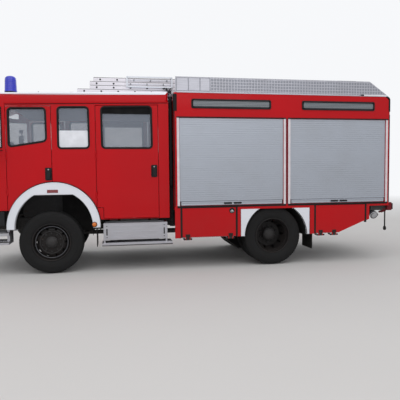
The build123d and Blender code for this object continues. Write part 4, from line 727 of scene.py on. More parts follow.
def finished(piece, name, paint, slot=None, replaces=(), smooth=35, body="truck",
             alone=False):
    # joins, names, paints and hangs a piece; a _left one gets its mirrored twin, unless
    # it stands alone
    piece = joined(piece) if isinstance(piece, list) else piece
    piece.name = piece.data.name = name
    piece.data.materials.clear()
    piece.data.materials.append(paints[paint])
    made = [piece]
    if name.endswith("_left") and not alone:
        made.append(copied(piece, mirror=True))
        made[1].name = made[1].data.name = name.replace("left", "right")
    slot = slot or next(key for key, names in slots.items() if paint in names.split())
    replaces = [replaces] if isinstance(replaces, str) else replaces
    for each, side in zip(made, ("left", "right")):
        only(each)
        bpy.ops.object.shade_smooth_by_angle(angle=radians(smooth))
        modified(each, "WEIGHTED_NORMAL", keep_sharp=True)

        def named(word):
            return word.replace("left", side)
        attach(each, named(body))
        if replaces:
            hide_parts(*[named(node) for node in replaces])
    return made[0]


def dress(node, name, paint, bevel=0.003, segments=2, **more):
    # a CAD node's own shape, its edges bevelled, in place of the node
    return finished(cadCopy(node, bevel, segments), name, paint, replaces=node, **more)



# equipment body: side skins
def makeBodyShell():
    dress("body_sides", "bodySides", "red", 0.004)
    dress("body_end_walls", "bodyEndWalls", "red", 0.004)
    front, rear = [], []
    for part in parted(cadCopy("wheel_arch_trims")):
        low = min(v.co.x for v in part.data.vertices)
        (front if low > 0 else rear).append(part)
    front = [softened(part, 0.012, 3, 50) for part in front]     # a soft, moulded edge
    rear = [softened(part, 0.004, 2, 50) for part in rear]
    finished(front, "frontArchTrims", "white", replaces="wheel_arch_trims")
    finished(rear, "rearArchPanels", "white", replaces="wheel_arch_trims")


makeBodyShell()

# roller shutters: one slat drawn, extruded and repeated up the opening
shutter = {
    "ends": ((2.076, 3.874), (4.0, 5.79)), "low": 1.062, "high": 2.512,
    "face": 1.238, "slats": 38, "barHeight": 0.072, "grip": 0.135, "gripGap": 0.035,
    "grips": (2.978, 4.905), "guide": 0.04,
}


def slatCurtain(start, length, face, low, high, along):
    # along is the way the slats run: "x" on the sides, "y" at the rear
    pitch = (high - low) / shutter["slats"]
    profile = ((0, 0), (0.0108, 0.0004), (0.0117, 0.0014), (0.012, 0.004),
        (0.012, pitch - 0.004), (0.0117, pitch - 0.0014), (0.0108, pitch - 0.0004),
        (0, pitch))
    base = face - 0.012

    def spot(out, up):
        if along == "x":
            return start, base + out, low + up
        return -(base + out), start, low + up

    reach = (length, 0, 0) if along == "x" else (0, length, 0)
    slat = outline([spot(*p) for p in profile], reach)
    return row(slat, shutter["slats"], (0, 0, pitch))


def makeSideShutters():
    low, face, y = shutter["low"] + shutter["barHeight"], shutter["face"], bodySide
    for word, (s0, s1), grip in zip(("front", "rear"), shutter["ends"], shutter["grips"]):
        curtain = slatCurtain(at(s1) + 0.004, s1 - s0 - 0.008, face, low, shutter["high"], "x")
        bar = block((at(s1) + 0.02, face - 0.016, shutter["low"] + 0.004),
            (at(s0) - 0.02, face + 0.004, low - 0.004), 0.004)
        sunk(bar, towards(0, 1, 0), 0.012, -0.004)
        rail = block((at(s1) + 0.035, face, low - 0.026),
            (at(s0) - 0.035, face + 0.009, low - 0.012), 0.003)
        finished([curtain, bar, rail], word + "Shutter_left", "shutter",
            replaces="roller_shutters")
        grips = []
        for end in (-1, 1):
            middle = at(grip) + end * (shutter["grip"] + shutter["gripGap"]) / 2
            half = shutter["grip"] / 2
            grips.append(block((middle - half, face + 0.002, shutter["low"] + 0.018),
                (middle + half, face + 0.02, shutter["low"] + 0.046), 0.006, 3))
        finished(grips, word + "ShutterGrips_left", "plastic")
        guides = []
        for station in (s0 - 0.002, s1 + shutter["guide"] + 0.002):
            strip = block((at(station), y - 0.001, 1.05),
                (at(station) + shutter["guide"], y + 0.006, 2.512), 0.002)
            guides.append(sunk(strip, towards(0, 1, 0), 0.008, -0.003))
        finished(guides, word + "Guides_left", "guide")
        if word == "front":      # the narrow strip between the two shutters, in the darker red that paints the frames' shade on it
            post = block((at(3.957), y - 0.001, 1.058),
                (at(3.917), y + 0.0015, 2.513), 0.001, 1)
            finished(post, "shutterPost_left", "deepRed")
        hood = block((at(s1) - 0.045, y - 0.001, 2.513), (at(s0) + 0.045, y + 0.012, 2.531),
            0.004)
        sill = block((at(s1) - 0.045, y - 0.001, 1.026), (at(s0) + 0.045, y + 0.008, 1.06),
            0.003)
        finished([hood, sill], word + "Hood_left", "rubber")


def makeRearShutter():
    half, low, high = 0.62, 1.12, 2.512
    face, wall = -at(5.853), -at(bodyRear)
    curtain = slatCurtain(-half + 0.004, 2 * half - 0.008, face, low + 0.07, high, "y")
    bar = block((-face - 0.005, -half + 0.02, low + 0.004),
        (-face + 0.014, half - 0.02, low + 0.066), 0.004)
    finished([curtain, bar], "rearWallShutter", "rearShutter", replaces="roller_shutters")
    grips = [block((-face - 0.02, side * 0.1 - 0.07, low + 0.02),
        (-face - 0.002, side * 0.1 + 0.07, low + 0.046), 0.006, 3) for side in (-1, 1)]
    finished(grips, "rearWallGrips", "plastic")
    frameStrips = []
    for side in (-1, 1):
        y0, y1 = sorted((side * half, side * (half + 0.045)))
        frameStrips.append(block((-wall - 0.008, y0, low - 0.05),
            (-wall + 0.001, y1, high + 0.05), 0.003))
    for z0, z1 in ((high, high + 0.05), (low - 0.05, low)):
        frameStrips.append(block((-wall - 0.01, -half, z0), (-wall + 0.001, half, z1), 0.003))
    finished(frameStrips, "rearWallGuides", "upright")


makeSideShutters()
makeRearShutter()

# strip lights over the shutters
stripLight = {"low": 2.668, "high": 2.824, "ends": ((2.28, 3.65), (4.204, 5.566)),
              "depth": 0.013, "rim": 0.032, "corner": 0.03, "louvres": 4}


def makeStripLights():
    for word, (s0, s1) in zip(("front", "rear"), stripLight["ends"]):
        z0, z1, y = stripLight["low"], stripLight["high"], bodySide
        corners = flat((at(s1), at(s0)), y, (z0, z1))
        casing = surround(corners, stripLight["rim"], (0, stripLight["depth"], 0),
            stripLight["corner"], 0.003)
        screws = []
        for x in (at(s0) - 0.012, at(s1) + 0.012):
            for z in (z0 + 0.035, z1 - 0.035):
                screws.append(turned(((0, 0), (0.003, 0), (0.003, 0.004), (0, 0.0055)),
                    (x, y + stripLight["depth"] - 0.002, z), steps=10))
        finished([casing] + screws, word + "StripCase_left", "plastic", replaces="lamps")
        rim = stripLight["rim"] - 0.002
        inner = flat((at(s1) + rim, at(s0) - rim), y, (z0 + rim, z1 - rim))
        pane = outline(inner, (0, 0.006, 0), 0.014, 0.002)
        step = (z1 - z0 - 2 * rim) / stripLight["louvres"]
        rib = block((at(s1) + rim + 0.004, y + 0.005, z0 + rim + step / 2 - 0.003),
            (at(s0) - rim - 0.004, y + 0.0105, z0 + rim + step / 2 + 0.003), 0.002)
        ribs = row(rib, stripLight["louvres"], (0, 0, step))
        finished([pane, ribs], word + "StripLens_left", "louvre", replaces="lamps")


makeStripLights()

# low flaps with their latches, seals and the black seams beside them
flapPlan = {"front": (2.112, 3.025), "rear": (4.472, 5.4), "latchZ": 0.966}


def turnLatch(x, y, z):          # round twist latch: a cup, a ring and a folding bow
    cup = turned(((0, 0), (0, 0.046), (0.006, 0.046), (0.009, 0.041), (0.009, 0.034),
        (0.003, 0.032), (0.003, 0)), (x, y, z), steps=28)
    knob = turned(((0, 0), (0.002, 0.016), (0.012, 0.015), (0.014, 0)), (x, y, z),
        steps=20)
    bow = staple((x - 0.026, y + 0.006, z), (x + 0.026, y + 0.006, z), (0, 0.005, -0.024),
        0.003, 0.008)
    return cup, joined([knob, bow])


def makeFlaps():
    for word in ("front", "rear"):
        (s0, s1), body = flapPlan[word], "left_" + word + "_flap"
        dress(word + "_flap_left", word + "Flap_left", "red", 0.004, body=body)
        if word == "front":
            cup, bow = turnLatch(at(s1 - 0.066), bodySide, flapPlan["latchZ"])
            finished(cup, "frontLatchCup_left", "plastic", body=body)
            finished(bow, "frontLatch_left", "chrome", body=body)
        seals = []
        for station in (s0 - 0.033, s1 + 0.001):
            low = 0.53 if station < 5 else 0.7
            seals.append(block((at(station + 0.032), bodySide - 0.034, low),
                (at(station), bodySide + 0.004, 1.03), 0.004))
        seals.append(block((at(s1), bodySide - 0.034, 1.0205),
            (at(s0), bodySide - 0.004, 1.031), 0.003))
        finished(seals, word + "FlapSeals_left", "rubber")
        padsAndShadeStrips = []
        for station in (s0 + 0.09, min(s1, 4.905) - 0.09):       # hinge leaves, bolted
            padsAndShadeStrips.append(block((at(station) - 0.038, bodySide - 0.001, 0.537),
                (at(station) + 0.038, bodySide + 0.004, 0.585), 0.0015))
            padsAndShadeStrips += [boltHead((at(station) + dx, bodySide + 0.004, 0.561))
                for dx in (-0.022, 0.022)]
        finished(padsAndShadeStrips, word + "HingeLeaves_left", "black", body=body)


makeFlaps()


# lips and edges of the body's lower parts
def arc(centre, radius, start, end, count, y):     # points of an arc in side view
    turns = [start + (end - start) * n / (count - 1) for n in range(count)]
    return [(centre[0] + radius * cos(t), y, centre[1] + radius * sin(t)) for t in turns]


def makeBodyTrim():
    y = bodySide
    lips = [rod(arc(arches["rear"], 0.559, radians(start), radians(start + 55), 12, y), 0.0065)
        for start in (2, 123)]
    finished(lips, "rearArchLips_left", "rubber")
    lines = [block((at(s1), y - 0.002, 0.524), (at(s0), y + 0.003, 0.985), 0.002)
        for s0, s1 in ((3.109, 3.116), (4.354, 4.361))]
    finished(lines, "archPanelSeams_left", "rubber")
    bend, inner = [arc((at(5.802), 2.862), radius, radians(100), radians(180), 8, y - 0.05)
        for radius in (0.068, 0.04)]
    corner = outline(bend + [(at(5.87), y - 0.05, 2.66), (at(5.842), y - 0.05, 2.66)]
        + inner[::-1], (0, 0.056, 0))
    line = block((at(bodyRear) - 0.004, y - 0.02, 1.05),
        (at(bodyRear) + 0.012, y + 0.004, 2.61), 0.004)
    finished([corner, line], "rearCorner_left", "rubber")
    fore = block((at(bodyFront) - 0.012, y - 0.02, 1.05),
        (at(bodyFront) + 0.004, y + 0.004, 2.9), 0.004)
    cap = block((at(bodyFront) - 0.05, y - 0.04, 2.62),
        (at(bodyFront) + 0.01, y + 0.006, 2.9), 0.006, 3)
    finished([fore, cap], "frontCorner_left", "rubber")
    top = block((at(bodyRear) + 0.08, y - 0.03, bodyTop - 0.004),
        (at(bodyFront) - 0.05, y + 0.006, bodyTop + 0.006), 0.004)
    finished(top, "roofEdge_left", "rack")


makeBodyTrim()
print("body dressed")

# wheels: a spun carcass with tread blocks, spun rims with hand holes, nuts and hubs
tyrePlan = {"radius": 0.51, "pitches": 66, "frontY": 0.99, "rearY": 1.062,
            "innerY": 0.747}
wheelPlan = {"front": (0, "left_front_wheel"), "rear": (rearAxle, "left_rear_wheels")}
carcassHalf = ((0.1155, 0.292), (0.1155, 0.307), (0.123, 0.316), (0.1255, 0.329),
    (0.131, 0.343), (0.1355, 0.372), (0.1375, 0.4), (0.1372, 0.412), (0.1345, 0.415),
    (0.1343, 0.421), (0.1358, 0.424), (0.133, 0.446), (0.1265, 0.47), (0.1215, 0.482),
    (0.114, 0.491), (0.102, 0.4965), (0.05, 0.4985))


def oneTyre():                   # stands about the origin's y line at axle height
    loop = list(carcassHalf) + [(-a, r) for a, r in reversed(carcassHalf)]
    carcass = turned(loop, (0, 0, 0), steps=88)
    step = 2 * pi * tyrePlan["radius"] / tyrePlan["pitches"]
    blocks = []
    for y, wide, top, shift in ((-0.0985, 0.036, 0.5035, 0), (0.0985, 0.036, 0.5035, 0),
            (-0.049, 0.037, 0.5085, 0.5), (0.049, 0.037, 0.5085, 0.5), (0, 0.035, 0.5095, 0)):
        lug = block((-0.42 * step, y - wide / 2, 0.484), (0.42 * step, y + wide / 2, top),
            0.0025, 1)
        if abs(y) > 0.09:        # shoulder lugs fall away outwards
            edit(lug, "VERT", lambda v: v.co.z > 0.49 and abs(v.co.y) > 0.1)
            bpy.ops.transform.translate(value=(0, 0, -0.0065))
            done(lug)
        turn = (2 * pi * shift / tyrePlan["pitches"], "Y", (0, 0, 0))
        blocks.append(copied(lug, turn=turn))
        bpy.data.objects.remove(lug)
    sector = joined(blocks)
    return joined([carcass, ring(sector, tyrePlan["pitches"], (0, 0, 0))])


def rimLoop(y, disc, root, bend, bore, thick=0.012):
    return ((y - 0.1295, 0.306), (y - 0.1155, 0.306), (y - 0.1155, 0.292), (y - 0.085, 0.29),
        (y - 0.062, 0.274), (y + 0.03, 0.274), (y + 0.055, 0.29), (y + 0.1155, 0.292),
        (y + 0.1155, 0.306), (y + 0.1265, 0.306), (y + 0.1295, 0.3), (y + 0.1265, 0.29),
        (y + 0.105, 0.281), (y + 0.065, 0.279), (y + 0.045, 0.264), (root + 0.01, 0.262),
        (disc + 0.001, bend + 0.012), (disc, bend), (disc, bore), (disc - thick, bore),
        (disc - thick, bend + 0.014), (root - 0.012, 0.262), (y - 0.052, 0.263),
        (y - 0.08, 0.279), (y - 0.122, 0.281))


def wheelNuts(count, radius, y, size, height, twist=0.0):
    nut = turned(((0, size * 1.25), (0.004, size * 1.25), (0.004, size), (height * 0.8, size),
        (height, size * 0.8), (height, size * 0.5), (height * 1.35, size * 0.46),
        (height * 1.35, 0)), (0, y, radius), steps=6)
    if twist:
        nut.data.transform(Matrix.Rotation(twist, 4, "Y"))
    return ring(nut, count, (0, 0, 0))


def handHoles(rim, radius, y, count=10, size=0.023):
    drill = turned(((-0.09, size), (0.09, size)), (0, y, radius), steps=20, closed=False)
    edit(drill, "EDGE", lambda e: len(e.link_faces) == 1)
    bpy.ops.mesh.edge_face_add()
    bpy.ops.mesh.select_all(action="DESELECT")
    done(drill)
    drill = modified(drill, "WELD", merge_threshold=1e-05)
    drill.data.transform(Matrix.Rotation(pi / count, 4, "Y"))
    return cutOut(rim, ring(drill, count, (0, 0, 0)))


def wheelRing(y, radius, thick, steps):         # a bar bent round the axle
    turns = [2 * pi * n / 8 for n in range(8)]
    return turned([(y + thick * cos(t), radius + thick * sin(t)) for t in turns], (0, 0, 0),
        steps=steps)


def brakeDrum(y0, y1, radius):
    return turned(((y0, radius - 0.006), (y0, radius), (y0 + 0.016, radius),
        (y0 + 0.019, radius - 0.007), (y0 + 0.05, radius - 0.008),
        (y0 + 0.053, radius - 0.003), (y1 - 0.008, radius - 0.003), (y1, radius - 0.014),
        (y1, 0.09), (y1 - 0.014, 0.09), (y1 - 0.014, radius - 0.02), (y0, radius - 0.02)),
        (0, 0, 0), steps=56)


def placed(end, pieces, name, paint, node="rim", smooth=30):
    # hangs a wheel's pieces on their axle, in place of the node's tyre or rim
    piece = joined(pieces)
    station, body = wheelPlan[end]
    piece.data.transform(Matrix.Translation((at(station), 0, axleZ)))
    finished(piece, name, paint, replaces=f"{end}_{node}_left", smooth=smooth, body=body)


def makeFrontWheels():
    y = tyrePlan["frontY"]
    placed("front", [copied(roadTyre, (0, y, 0))], "frontTyre_left", "tyre", "tyre", 40)
    disc = y + 0.074
    rim = turned(rimLoop(y, disc, y + 0.03, 0.188, 0.098), (0, 0, 0), steps=72)
    placed("front", [handHoles(rim, 0.222, disc)], "frontRim_left", "wheel")
    guard = wheelRing(disc + 0.018, 0.178, 0.007, 60)
    strut = block((-0.008, disc - 0.002, 0.166), (0.008, disc + 0.016, 0.176), 0.002)
    guard = joined([guard, ring(strut, 5, (0, 0, 0))])
    nuts = wheelNuts(10, 0.1475, disc, 0.0165, 0.02)
    placed("front", [nuts, guard], "frontWheelNuts_left", "hub", smooth=35)
    hub = turned(((disc - 0.075, 0), (disc - 0.075, 0.118), (disc - 0.012, 0.118),
        (disc - 0.012, 0.097), (disc + 0.03, 0.095), (disc + 0.036, 0.09),
        (disc + 0.046, 0.09), (disc + 0.05, 0.084), (disc + 0.068, 0.066),
        (disc + 0.079, 0.046), (disc + 0.083, 0)), (0, 0, 0), steps=48)
    studs = wheelNuts(8, 0.0785, disc + 0.046, 0.0065, 0.009, 0.2)
    drum = brakeDrum(0.918, 1.007, 0.2)
    back = turned(sleeve(0.921, 0.927, 0.19, 0.252), (0, 0, 0))
    placed("front", [wheelRing(disc + 0.012, 0.254, 0.008, 72)], "frontWheelBand_left",
        "ringSteel", smooth=40)
    placed("front", [hub, studs, drum, back], "frontHub_left", "hub")


def makeRearWheels():
    yOut, yIn = tyrePlan["rearY"], tyrePlan["innerY"]
    placed("rear", [copied(roadTyre, (0, y, 0)) for y in (yOut, yIn)], "rearTyres_left",
        "tyre", "tyres", 40)
    outer = turned(rimLoop(yOut, 0.9105, 1.03, 0.2, 0.112), (0, 0, 0), steps=72)
    outer = handHoles(outer, 0.236, 0.97, size=0.02)
    inner = turned([(2 * yIn - a, r) for a, r in rimLoop(yIn, 2 * yIn - 0.8965, yIn - 0.035,
        0.2, 0.112)], (0, 0, 0), steps=72)
    placed("rear", [outer, inner], "rearRims_left", "wheel")
    nuts = wheelNuts(10, 0.1475, 0.9105, 0.0165, 0.024)
    placed("rear", [nuts], "rearWheelNuts_left", "hub", smooth=35)
    hub = turned(((0.8065, 0), (0.8065, 0.12), (0.925, 0.118), (0.93, 0.11),
        (0.985, 0.105), (0.99, 0.112), (1.006, 0.112), (1.01, 0.104), (1.022, 0.098),
        (1.036, 0.074), (1.044, 0.04), (1.046, 0)), (0, 0, 0), steps=48)
    studs = wheelNuts(8, 0.088, 1.008, 0.0075, 0.012, 0.2)
    placed("rear", [hub, studs, brakeDrum(0.64, 0.8215, 0.2)], "rearHub_left", "hub")


roadTyre = oneTyre()
makeFrontWheels()
makeRearWheels()
bpy.data.objects.remove(roadTyre)
print("wheels made")

# cab: shell, doors and glass
cab = {
    "hinge": -0.645, "dripFront": 2.715, "dripRear": 2.775, "pane": 1.137,
    "frontWindow": ((-0.600, 2.642), (-0.038, 2.650), (-0.033, 2.132), (-0.600, 2.037)),
    "midWindow": ((0.146, 2.668), (0.622, 2.676), (0.626, 2.020), (0.144, 2.014)),
    "crewWindow": ((0.822, 2.680), (1.628, 2.700), (1.636, 2.020), (0.826, 2.020)),
    "gasket": 0.025, "gasketDepth": 0.009, "windowCorner": 0.055,
}


def dripZ(station):
    share = (station - cab["hinge"]) / (vehicle["cabBack"] - cab["hinge"])
    return cab["dripFront"] + share * (cab["dripRear"] - cab["dripFront"])


def grown(corners, margin):      # a four-cornered outline moved out by a margin
    (a, b), (c, d), (e, f), (g, h) = corners
    return ((a - margin, b + margin), (c + margin, d + margin), (e + margin, f - margin),
        (g - margin, h - margin))


def onSide(corners, y):
    return [(at(s), y, z) for s, z in corners]


def windowSeal(corners, name, body):       # rubber round a window, outside and inside
    edge = grown(corners, 0.014)
    outer = surround(onSide(edge, cabSide - 0.004), cab["gasket"], (0, cab["gasketDepth"], 0),
        cab["windowCorner"] + 0.014, 0.003)
    inner = surround(onSide(edge, cabSide - 0.058), cab["gasket"], (0, 0.012, 0),
        cab["windowCorner"] + 0.014, 0.003)
    bead = surround(onSide(grown(corners, 0.002), cab["pane"] - 0.014), 0.02, (0, 0.03, 0),
        cab["windowCorner"], 0.004)
    finished([outer, inner, bead], name, "rubber", body=body)


def makeCabShell():
    dress("cab_front", "cabNose", "red", smooth=30)
    dress("cab_sides", "cabSides", "red", smooth=30)
    dress("cab_roof", "cabRoof", "red", smooth=40)
    dress("cab_back", "cabBack", "red", smooth=30)
    panes = sorted(parted(cadCopy("cab_glass")), key=lambda p: len(p.data.polygons))
    finished(panes.pop(), "windscreen", "screen", replaces="cab_glass", smooth=30)
    finished(panes, "fixedSideGlass", "glass", replaces="cab_glass")


def makeDoors():
    for word, hinge in (("front", "frontWindow"), ("crew", "crewWindow")):
        node, body = word + "_door_left", "left_" + word + "_door"
        parts = sorted(parted(cadCopy(node)), key=lambda p: len(p.data.polygons))
        pane, leaf = parts[0], joined(parts[1:])
        softened(leaf, 0.0035, 2, 40)
        finished(leaf, word + "Door_left", "red", replaces=node, smooth=30, body=body)
        finished(pane, word + "DoorGlass_left", "glass", replaces=node, smooth=30, body=body)
        windowSeal(cab[hinge], word + "DoorSeal_left", body)
    windowSeal(cab["midWindow"], "midWindowSeal_left", "truck")


def makeHandles():               # a black paddle in a recessed plate on each door
    for word, station, z in (("front", -0.013, 1.61), ("crew", 1.664, 1.645)):
        x, y, body = at(station), cabSide, "left_" + word + "_door"
        plate = outline(flat((x - 0.05, x + 0.05), y - 0.002, (z - 0.1, z + 0.1)),
            (0, 0.012, 0), 0.014, 0.003)
        sunk(plate, towards(0, 1, 0, least=0.99), 0.012, -0.007)
        paddle = outline(flat((x - 0.03, x + 0.03), y + 0.004, (z - 0.082, z + 0.05)),
            (0, 0.022, 0), 0.012, 0.006)
        lock = turned(((0, 0), (0, 0.013), (0.006, 0.013), (0.008, 0.009), (0.008, 0)),
            (x, y + 0.004, z + 0.07), steps=20)
        finished([plate, paddle], word + "Handle_left", "plastic", body=body)
        finished(lock, word + "Lock_left", "steel", slot="aluminium", body=body)


def makeDoorTrim():              # inner linings with a pull and a crank
    for word, corners in (("front", ((-0.6, 2.0), (0, 2.08), (0, 1.52), (-0.6, 1.3))),
            ("crew", ((0.86, 1.98), (1.69, 1.98), (1.69, 0.92), (0.86, 1.1)))):
        body = "left_" + word + "_door"
        lining = outline(onSide(corners, cabSide - 0.05), (0, -0.014, 0), 0.04, 0.005)
        (s0, z0), s1 = corners[0], corners[1][0]
        x, turn = at((s0 + s1) / 2), at(s0 + 0.14)
        pull = staple((x - 0.11, cabSide - 0.06, z0 - 0.18),
            (x + 0.11, cabSide - 0.06, z0 - 0.18), (0, -0.045, 0), 0.011, 0.02)
        crank = turned(((0, 0), (0, 0.022), (-0.02, 0.02), (-0.022, 0)),
            (turn, cabSide - 0.064, z0 - 0.25), steps=20)
        arm = block((turn - 0.008, cabSide - 0.09, z0 - 0.33),
            (turn + 0.008, cabSide - 0.082, z0 - 0.245), 0.003)
        finished(lining, word + "DoorLining_left", "liner", body=body)
        finished([pull, crank, arm], word + "DoorPull_left", "plastic", body=body)


def makeFilms():                 # white film on the fixed pane, shade strip on the crew's
    y = cab["pane"] + 0.0035
    film = outline(onSide(((0.15, 2.3), (0.62, 2.3), (0.62, 2.025), (0.15, 2.025)), y),
        (0, 0.0015, 0), 0.03)
    finished(film, "midWindowFilm_left", "film")
    shade = outline(onSide(((0.828, 2.676), (1.628, 2.694), (1.63, 2.585), (0.828, 2.585)), y),
        (0, 0.003, 0), 0.01)
    rail = block((at(1.62), y, 2.572), (at(0.836), y + 0.008, 2.587), 0.003)
    finished([shade, rail], "crewWindowShade_left", "shade", body="left_crew_door")


def makeDripRails():
    y, s0, s1 = cabSide, cab["hinge"], vehicle["cabBack"] - 0.01
    z = dripZ(s0)
    along = (at(s1) - at(s0), 0, dripZ(s1) - z)
    gutter = outline([(at(s0), y + out, z + up) for out, up in ((-0.002, -0.012),
        (0.012, -0.01), (0.015, 0.006), (0.011, 0.006), (0.009, -0.003), (-0.002, -0.003))],
        along)
    finished(gutter, "dripRail_left", "red")
    # a dark strip under the gutter paints the gutter's shadow on the cab side
    shadow = outline(flat(at(s0), (y - 0.002, y + 0.003), (z - 0.02, z - 0.012)), along)
    finished(shadow, "dripSeal_left", "rubber")


def makeFlareTrim():
    # dark rubber between trim and cab, small blank red reflector, side repeater
    y, centre = cabSide + 0.006, arches["front"]
    lip = rod(arc(centre, 0.726, radians(-1), radians(181), 40, y), 0.008)
    finished(lip, "flareSeal_left", "rubber")
    line = rod(arc(centre, 0.712, radians(0), radians(180), 40, cabSide + 0.061), 0.004)
    finished(line, "flareBead_left", "white")
    plate = outline(onSide(((-0.035, 1.362), (0.131, 1.362), (0.131, 1.312), (-0.035, 1.312)),
        cabSide + 0.058), (0, 0.008, 0), 0.008, 0.002)
    finished(plate, "flareReflector_left", "redFoil")
    x, z = at(0.684), 0.792
    base = turned(((0, 0), (0, 0.044), (0.008, 0.044), (0.01, 0.038), (0.01, 0)),
        (x, cabSide + 0.058, z), steps=28)
    dome = turned(((0.008, 0.036), (0.018, 0.034), (0.027, 0.024), (0.031, 0.01), (0.0315, 0)),
        (x, cabSide + 0.058, z), steps=28)
    finished(base, "repeaterBase_left", "plastic")
    finished(dome, "repeater_left", "amber")


makeCabShell()
makeDoors()
makeHandles()
makeDoorTrim()
makeFilms()
makeDripRails()
makeFlareTrim()
print("cab skin dressed")

# roof: gallery walls with a pressed grid, ladders, access ladder, light mast
gallery = {"y": 1.2, "front": 2.03, "end": 5.84, "low": 2.945, "top": 3.19, "slope": 0.34,
           "rows": 5, "pitch": 0.0505, "plainEnd": 2.62}


def galleryTop(station):         # height of the wall's upper edge
    left = gallery["end"] - station
    return gallery["low"] + min(gallery["top"] - gallery["low"],
        left * (gallery["top"] - gallery["low"]) / gallery["slope"])


def makeGallery():
    g = gallery
    dress("roof_gallery", "galleryWalls", "mesh", 0.002)
    y, bars = g["y"], []
    step = (g["top"] - g["low"]) / g["rows"]
    for n in range(g["rows"]):
        z = g["low"] + step * (n + 0.5)
        last = g["end"] - g["slope"] * (z + 0.006 - g["low"]) / (g["top"] - g["low"])
        bars.append(block((at(last), y - 0.002, z - 0.006),
            (at(g["plainEnd"]), y + 0.0035, z + 0.006), 0.0015, 1))
    count = int((g["end"] - g["plainEnd"]) / g["pitch"])
    for n in range(count):
        station = g["plainEnd"] + g["pitch"] * n
        bars.append(block((at(station) - 0.0055, y - 0.002, g["low"] + 0.004),
            (at(station) + 0.0055, y + 0.003, galleryTop(station) - 0.003), 0.0012, 1))
    finished(bars, "galleryGrid_left", "rack")
    panels = []
    for s0, s1 in ((2.05, 2.235), (2.25, 2.43), (2.445, 2.6)):   # plain front panels
        panel = block((at(s1), y - 0.001, g["low"] + 0.02),
            (at(s0), y + 0.003, g["top"] - 0.02), 0.002, 1)
        panels.append(sunk(panel, towards(0, 1, 0), 0.012, -0.002))
    finished(panels, "galleryPanels_left", "rack")
    edge = rod([(at(g["front"]) - 0.004, y - 0.01, g["low"] + 0.01),
        (at(g["front"]) - 0.004, y - 0.01, g["top"] - 0.011),
        (at(g["end"] - g["slope"]), y - 0.01, g["top"] - 0.011),
        (at(g["end"]) + 0.012, y - 0.01, g["low"] + 0.008)], 0.013, 0.03)
    finished(edge, "galleryRim_left", "rack")
    rail = block((at(g["end"]) - 0.004, y - 0.03, g["low"] - 0.012),
        (at(g["front"]) + 0.004, y + 0.012, g["low"] + 0.006), 0.005)
    feet = [block((at(s) - 0.03, y - 0.034, bodyTop - 0.001),
        (at(s) + 0.03, y + 0.006, g["low"] - 0.008), 0.004)
        for s in (2.1, 2.75, 3.4, 4.05, 4.7, 5.35, 5.78)]
    finished([rail] + feet, "galleryRail_left", "rack")
    bar = block((at(5.8), y + 0.03, 2.926), (at(5.36), y + 0.058, 2.95), 0.006)
    knob = block((at(5.36), y + 0.03, 2.926), (at(5.31), y + 0.058, 2.954), 0.006)
    finished(bar, "edgeLight_left", "film", slot="lamp_plastic")
    finished(knob, "edgeLightBox_left", "plastic")


ladder = {"width": 0.45, "beam": 0.025, "layer": 0.066, "pitch": 0.285, "base": 2.985,
          "y": 0.42, "gap": 0.005, "rights": ((1.15, 5.3), (1.35, 5.5)),
          "lefts": ((0.43, 3.15), (0.64, 3.36), (0.64, 3.36), (0.7, 3.42))}


def oneLadder(s0, s1, y, z):     # C-section beams, fluted rungs and their bosses; dark strips on the beams paint the shade in the gaps between stacked ladders
    half, beam = ladder["width"] / 2, ladder["beam"]
    layer = ladder["layer"] - ladder["gap"]
    parts = []
    for side in (1, -1):
        def out(a):
            return y + side * (half - a)
        section = ((0, 0), (0, layer), (beam, layer), (beam, layer - 0.004),
            (0.005, layer - 0.004), (0.005, 0.004), (beam, 0.004), (beam, 0))
        parts.append(outline([(at(s1), out(a), z + up) for a, up in section],
            (s1 - s0, 0, 0)))
        near, far = sorted((out(0), out(-0.0022)))
        parts.append(block((at(s1) + 0.002, near, z + layer / 2 - 0.006),
            (at(s0) - 0.002, far, z + layer / 2 + 0.006), 0.001, 1))
        near, far = sorted((out(-0.001), out(beam)))
        for x in (at(s0), at(s1)):       # caps that close the beams' ends
            parts.append(block((x - 0.006, near, z), (x + 0.006, far, z + layer), 0.003, 1))
    count = int((s1 - s0 - 0.2) / ladder["pitch"]) + 1
    rung = turned(pin(-half + 0.004, half - 0.004, 0.016), (at(s0 + 0.11), y, z + layer / 2),
        steps=12)
    edit(rung, "FACE", lambda f: abs(f.normal.y) < 0.1)
    bpy.ops.mesh.inset(thickness=0.0018, depth=-0.0012, use_individual=True)
    done(rung)

    def spun(profile):           # at both ends of the rung
        return [turned([(side * along, radius) for along, radius in profile],
            (at(s0 + 0.11), y + side * half, z + layer / 2), steps=12) for side in (1, -1)]
    rungs = joined([rung] + spun(((0, 0), (0, 0.026), (0.004, 0.024), (0.004, 0))))
    plugs = joined(spun(((0.003, 0), (0.003, 0.016), (0.006, 0.015), (0.006, 0))))
    parts.append(row(rungs, count, (-ladder["pitch"], 0, 0)))
    plugs = row(plugs, count, (-ladder["pitch"], 0, 0))
    # dark strips along the beams' edges paint the shade in the gap to the ladder above
    padsAndShadeStrips = [block((at(s1), y + side * half - 0.02, z + layer - 0.001),
        (at(s0), y + side * half + 0.001, z + layer + ladder["gap"] + 0.001), 0.001, 1)
        for side in (1, -1)]
    return joined(parts), joined([plugs] + padsAndShadeStrips)


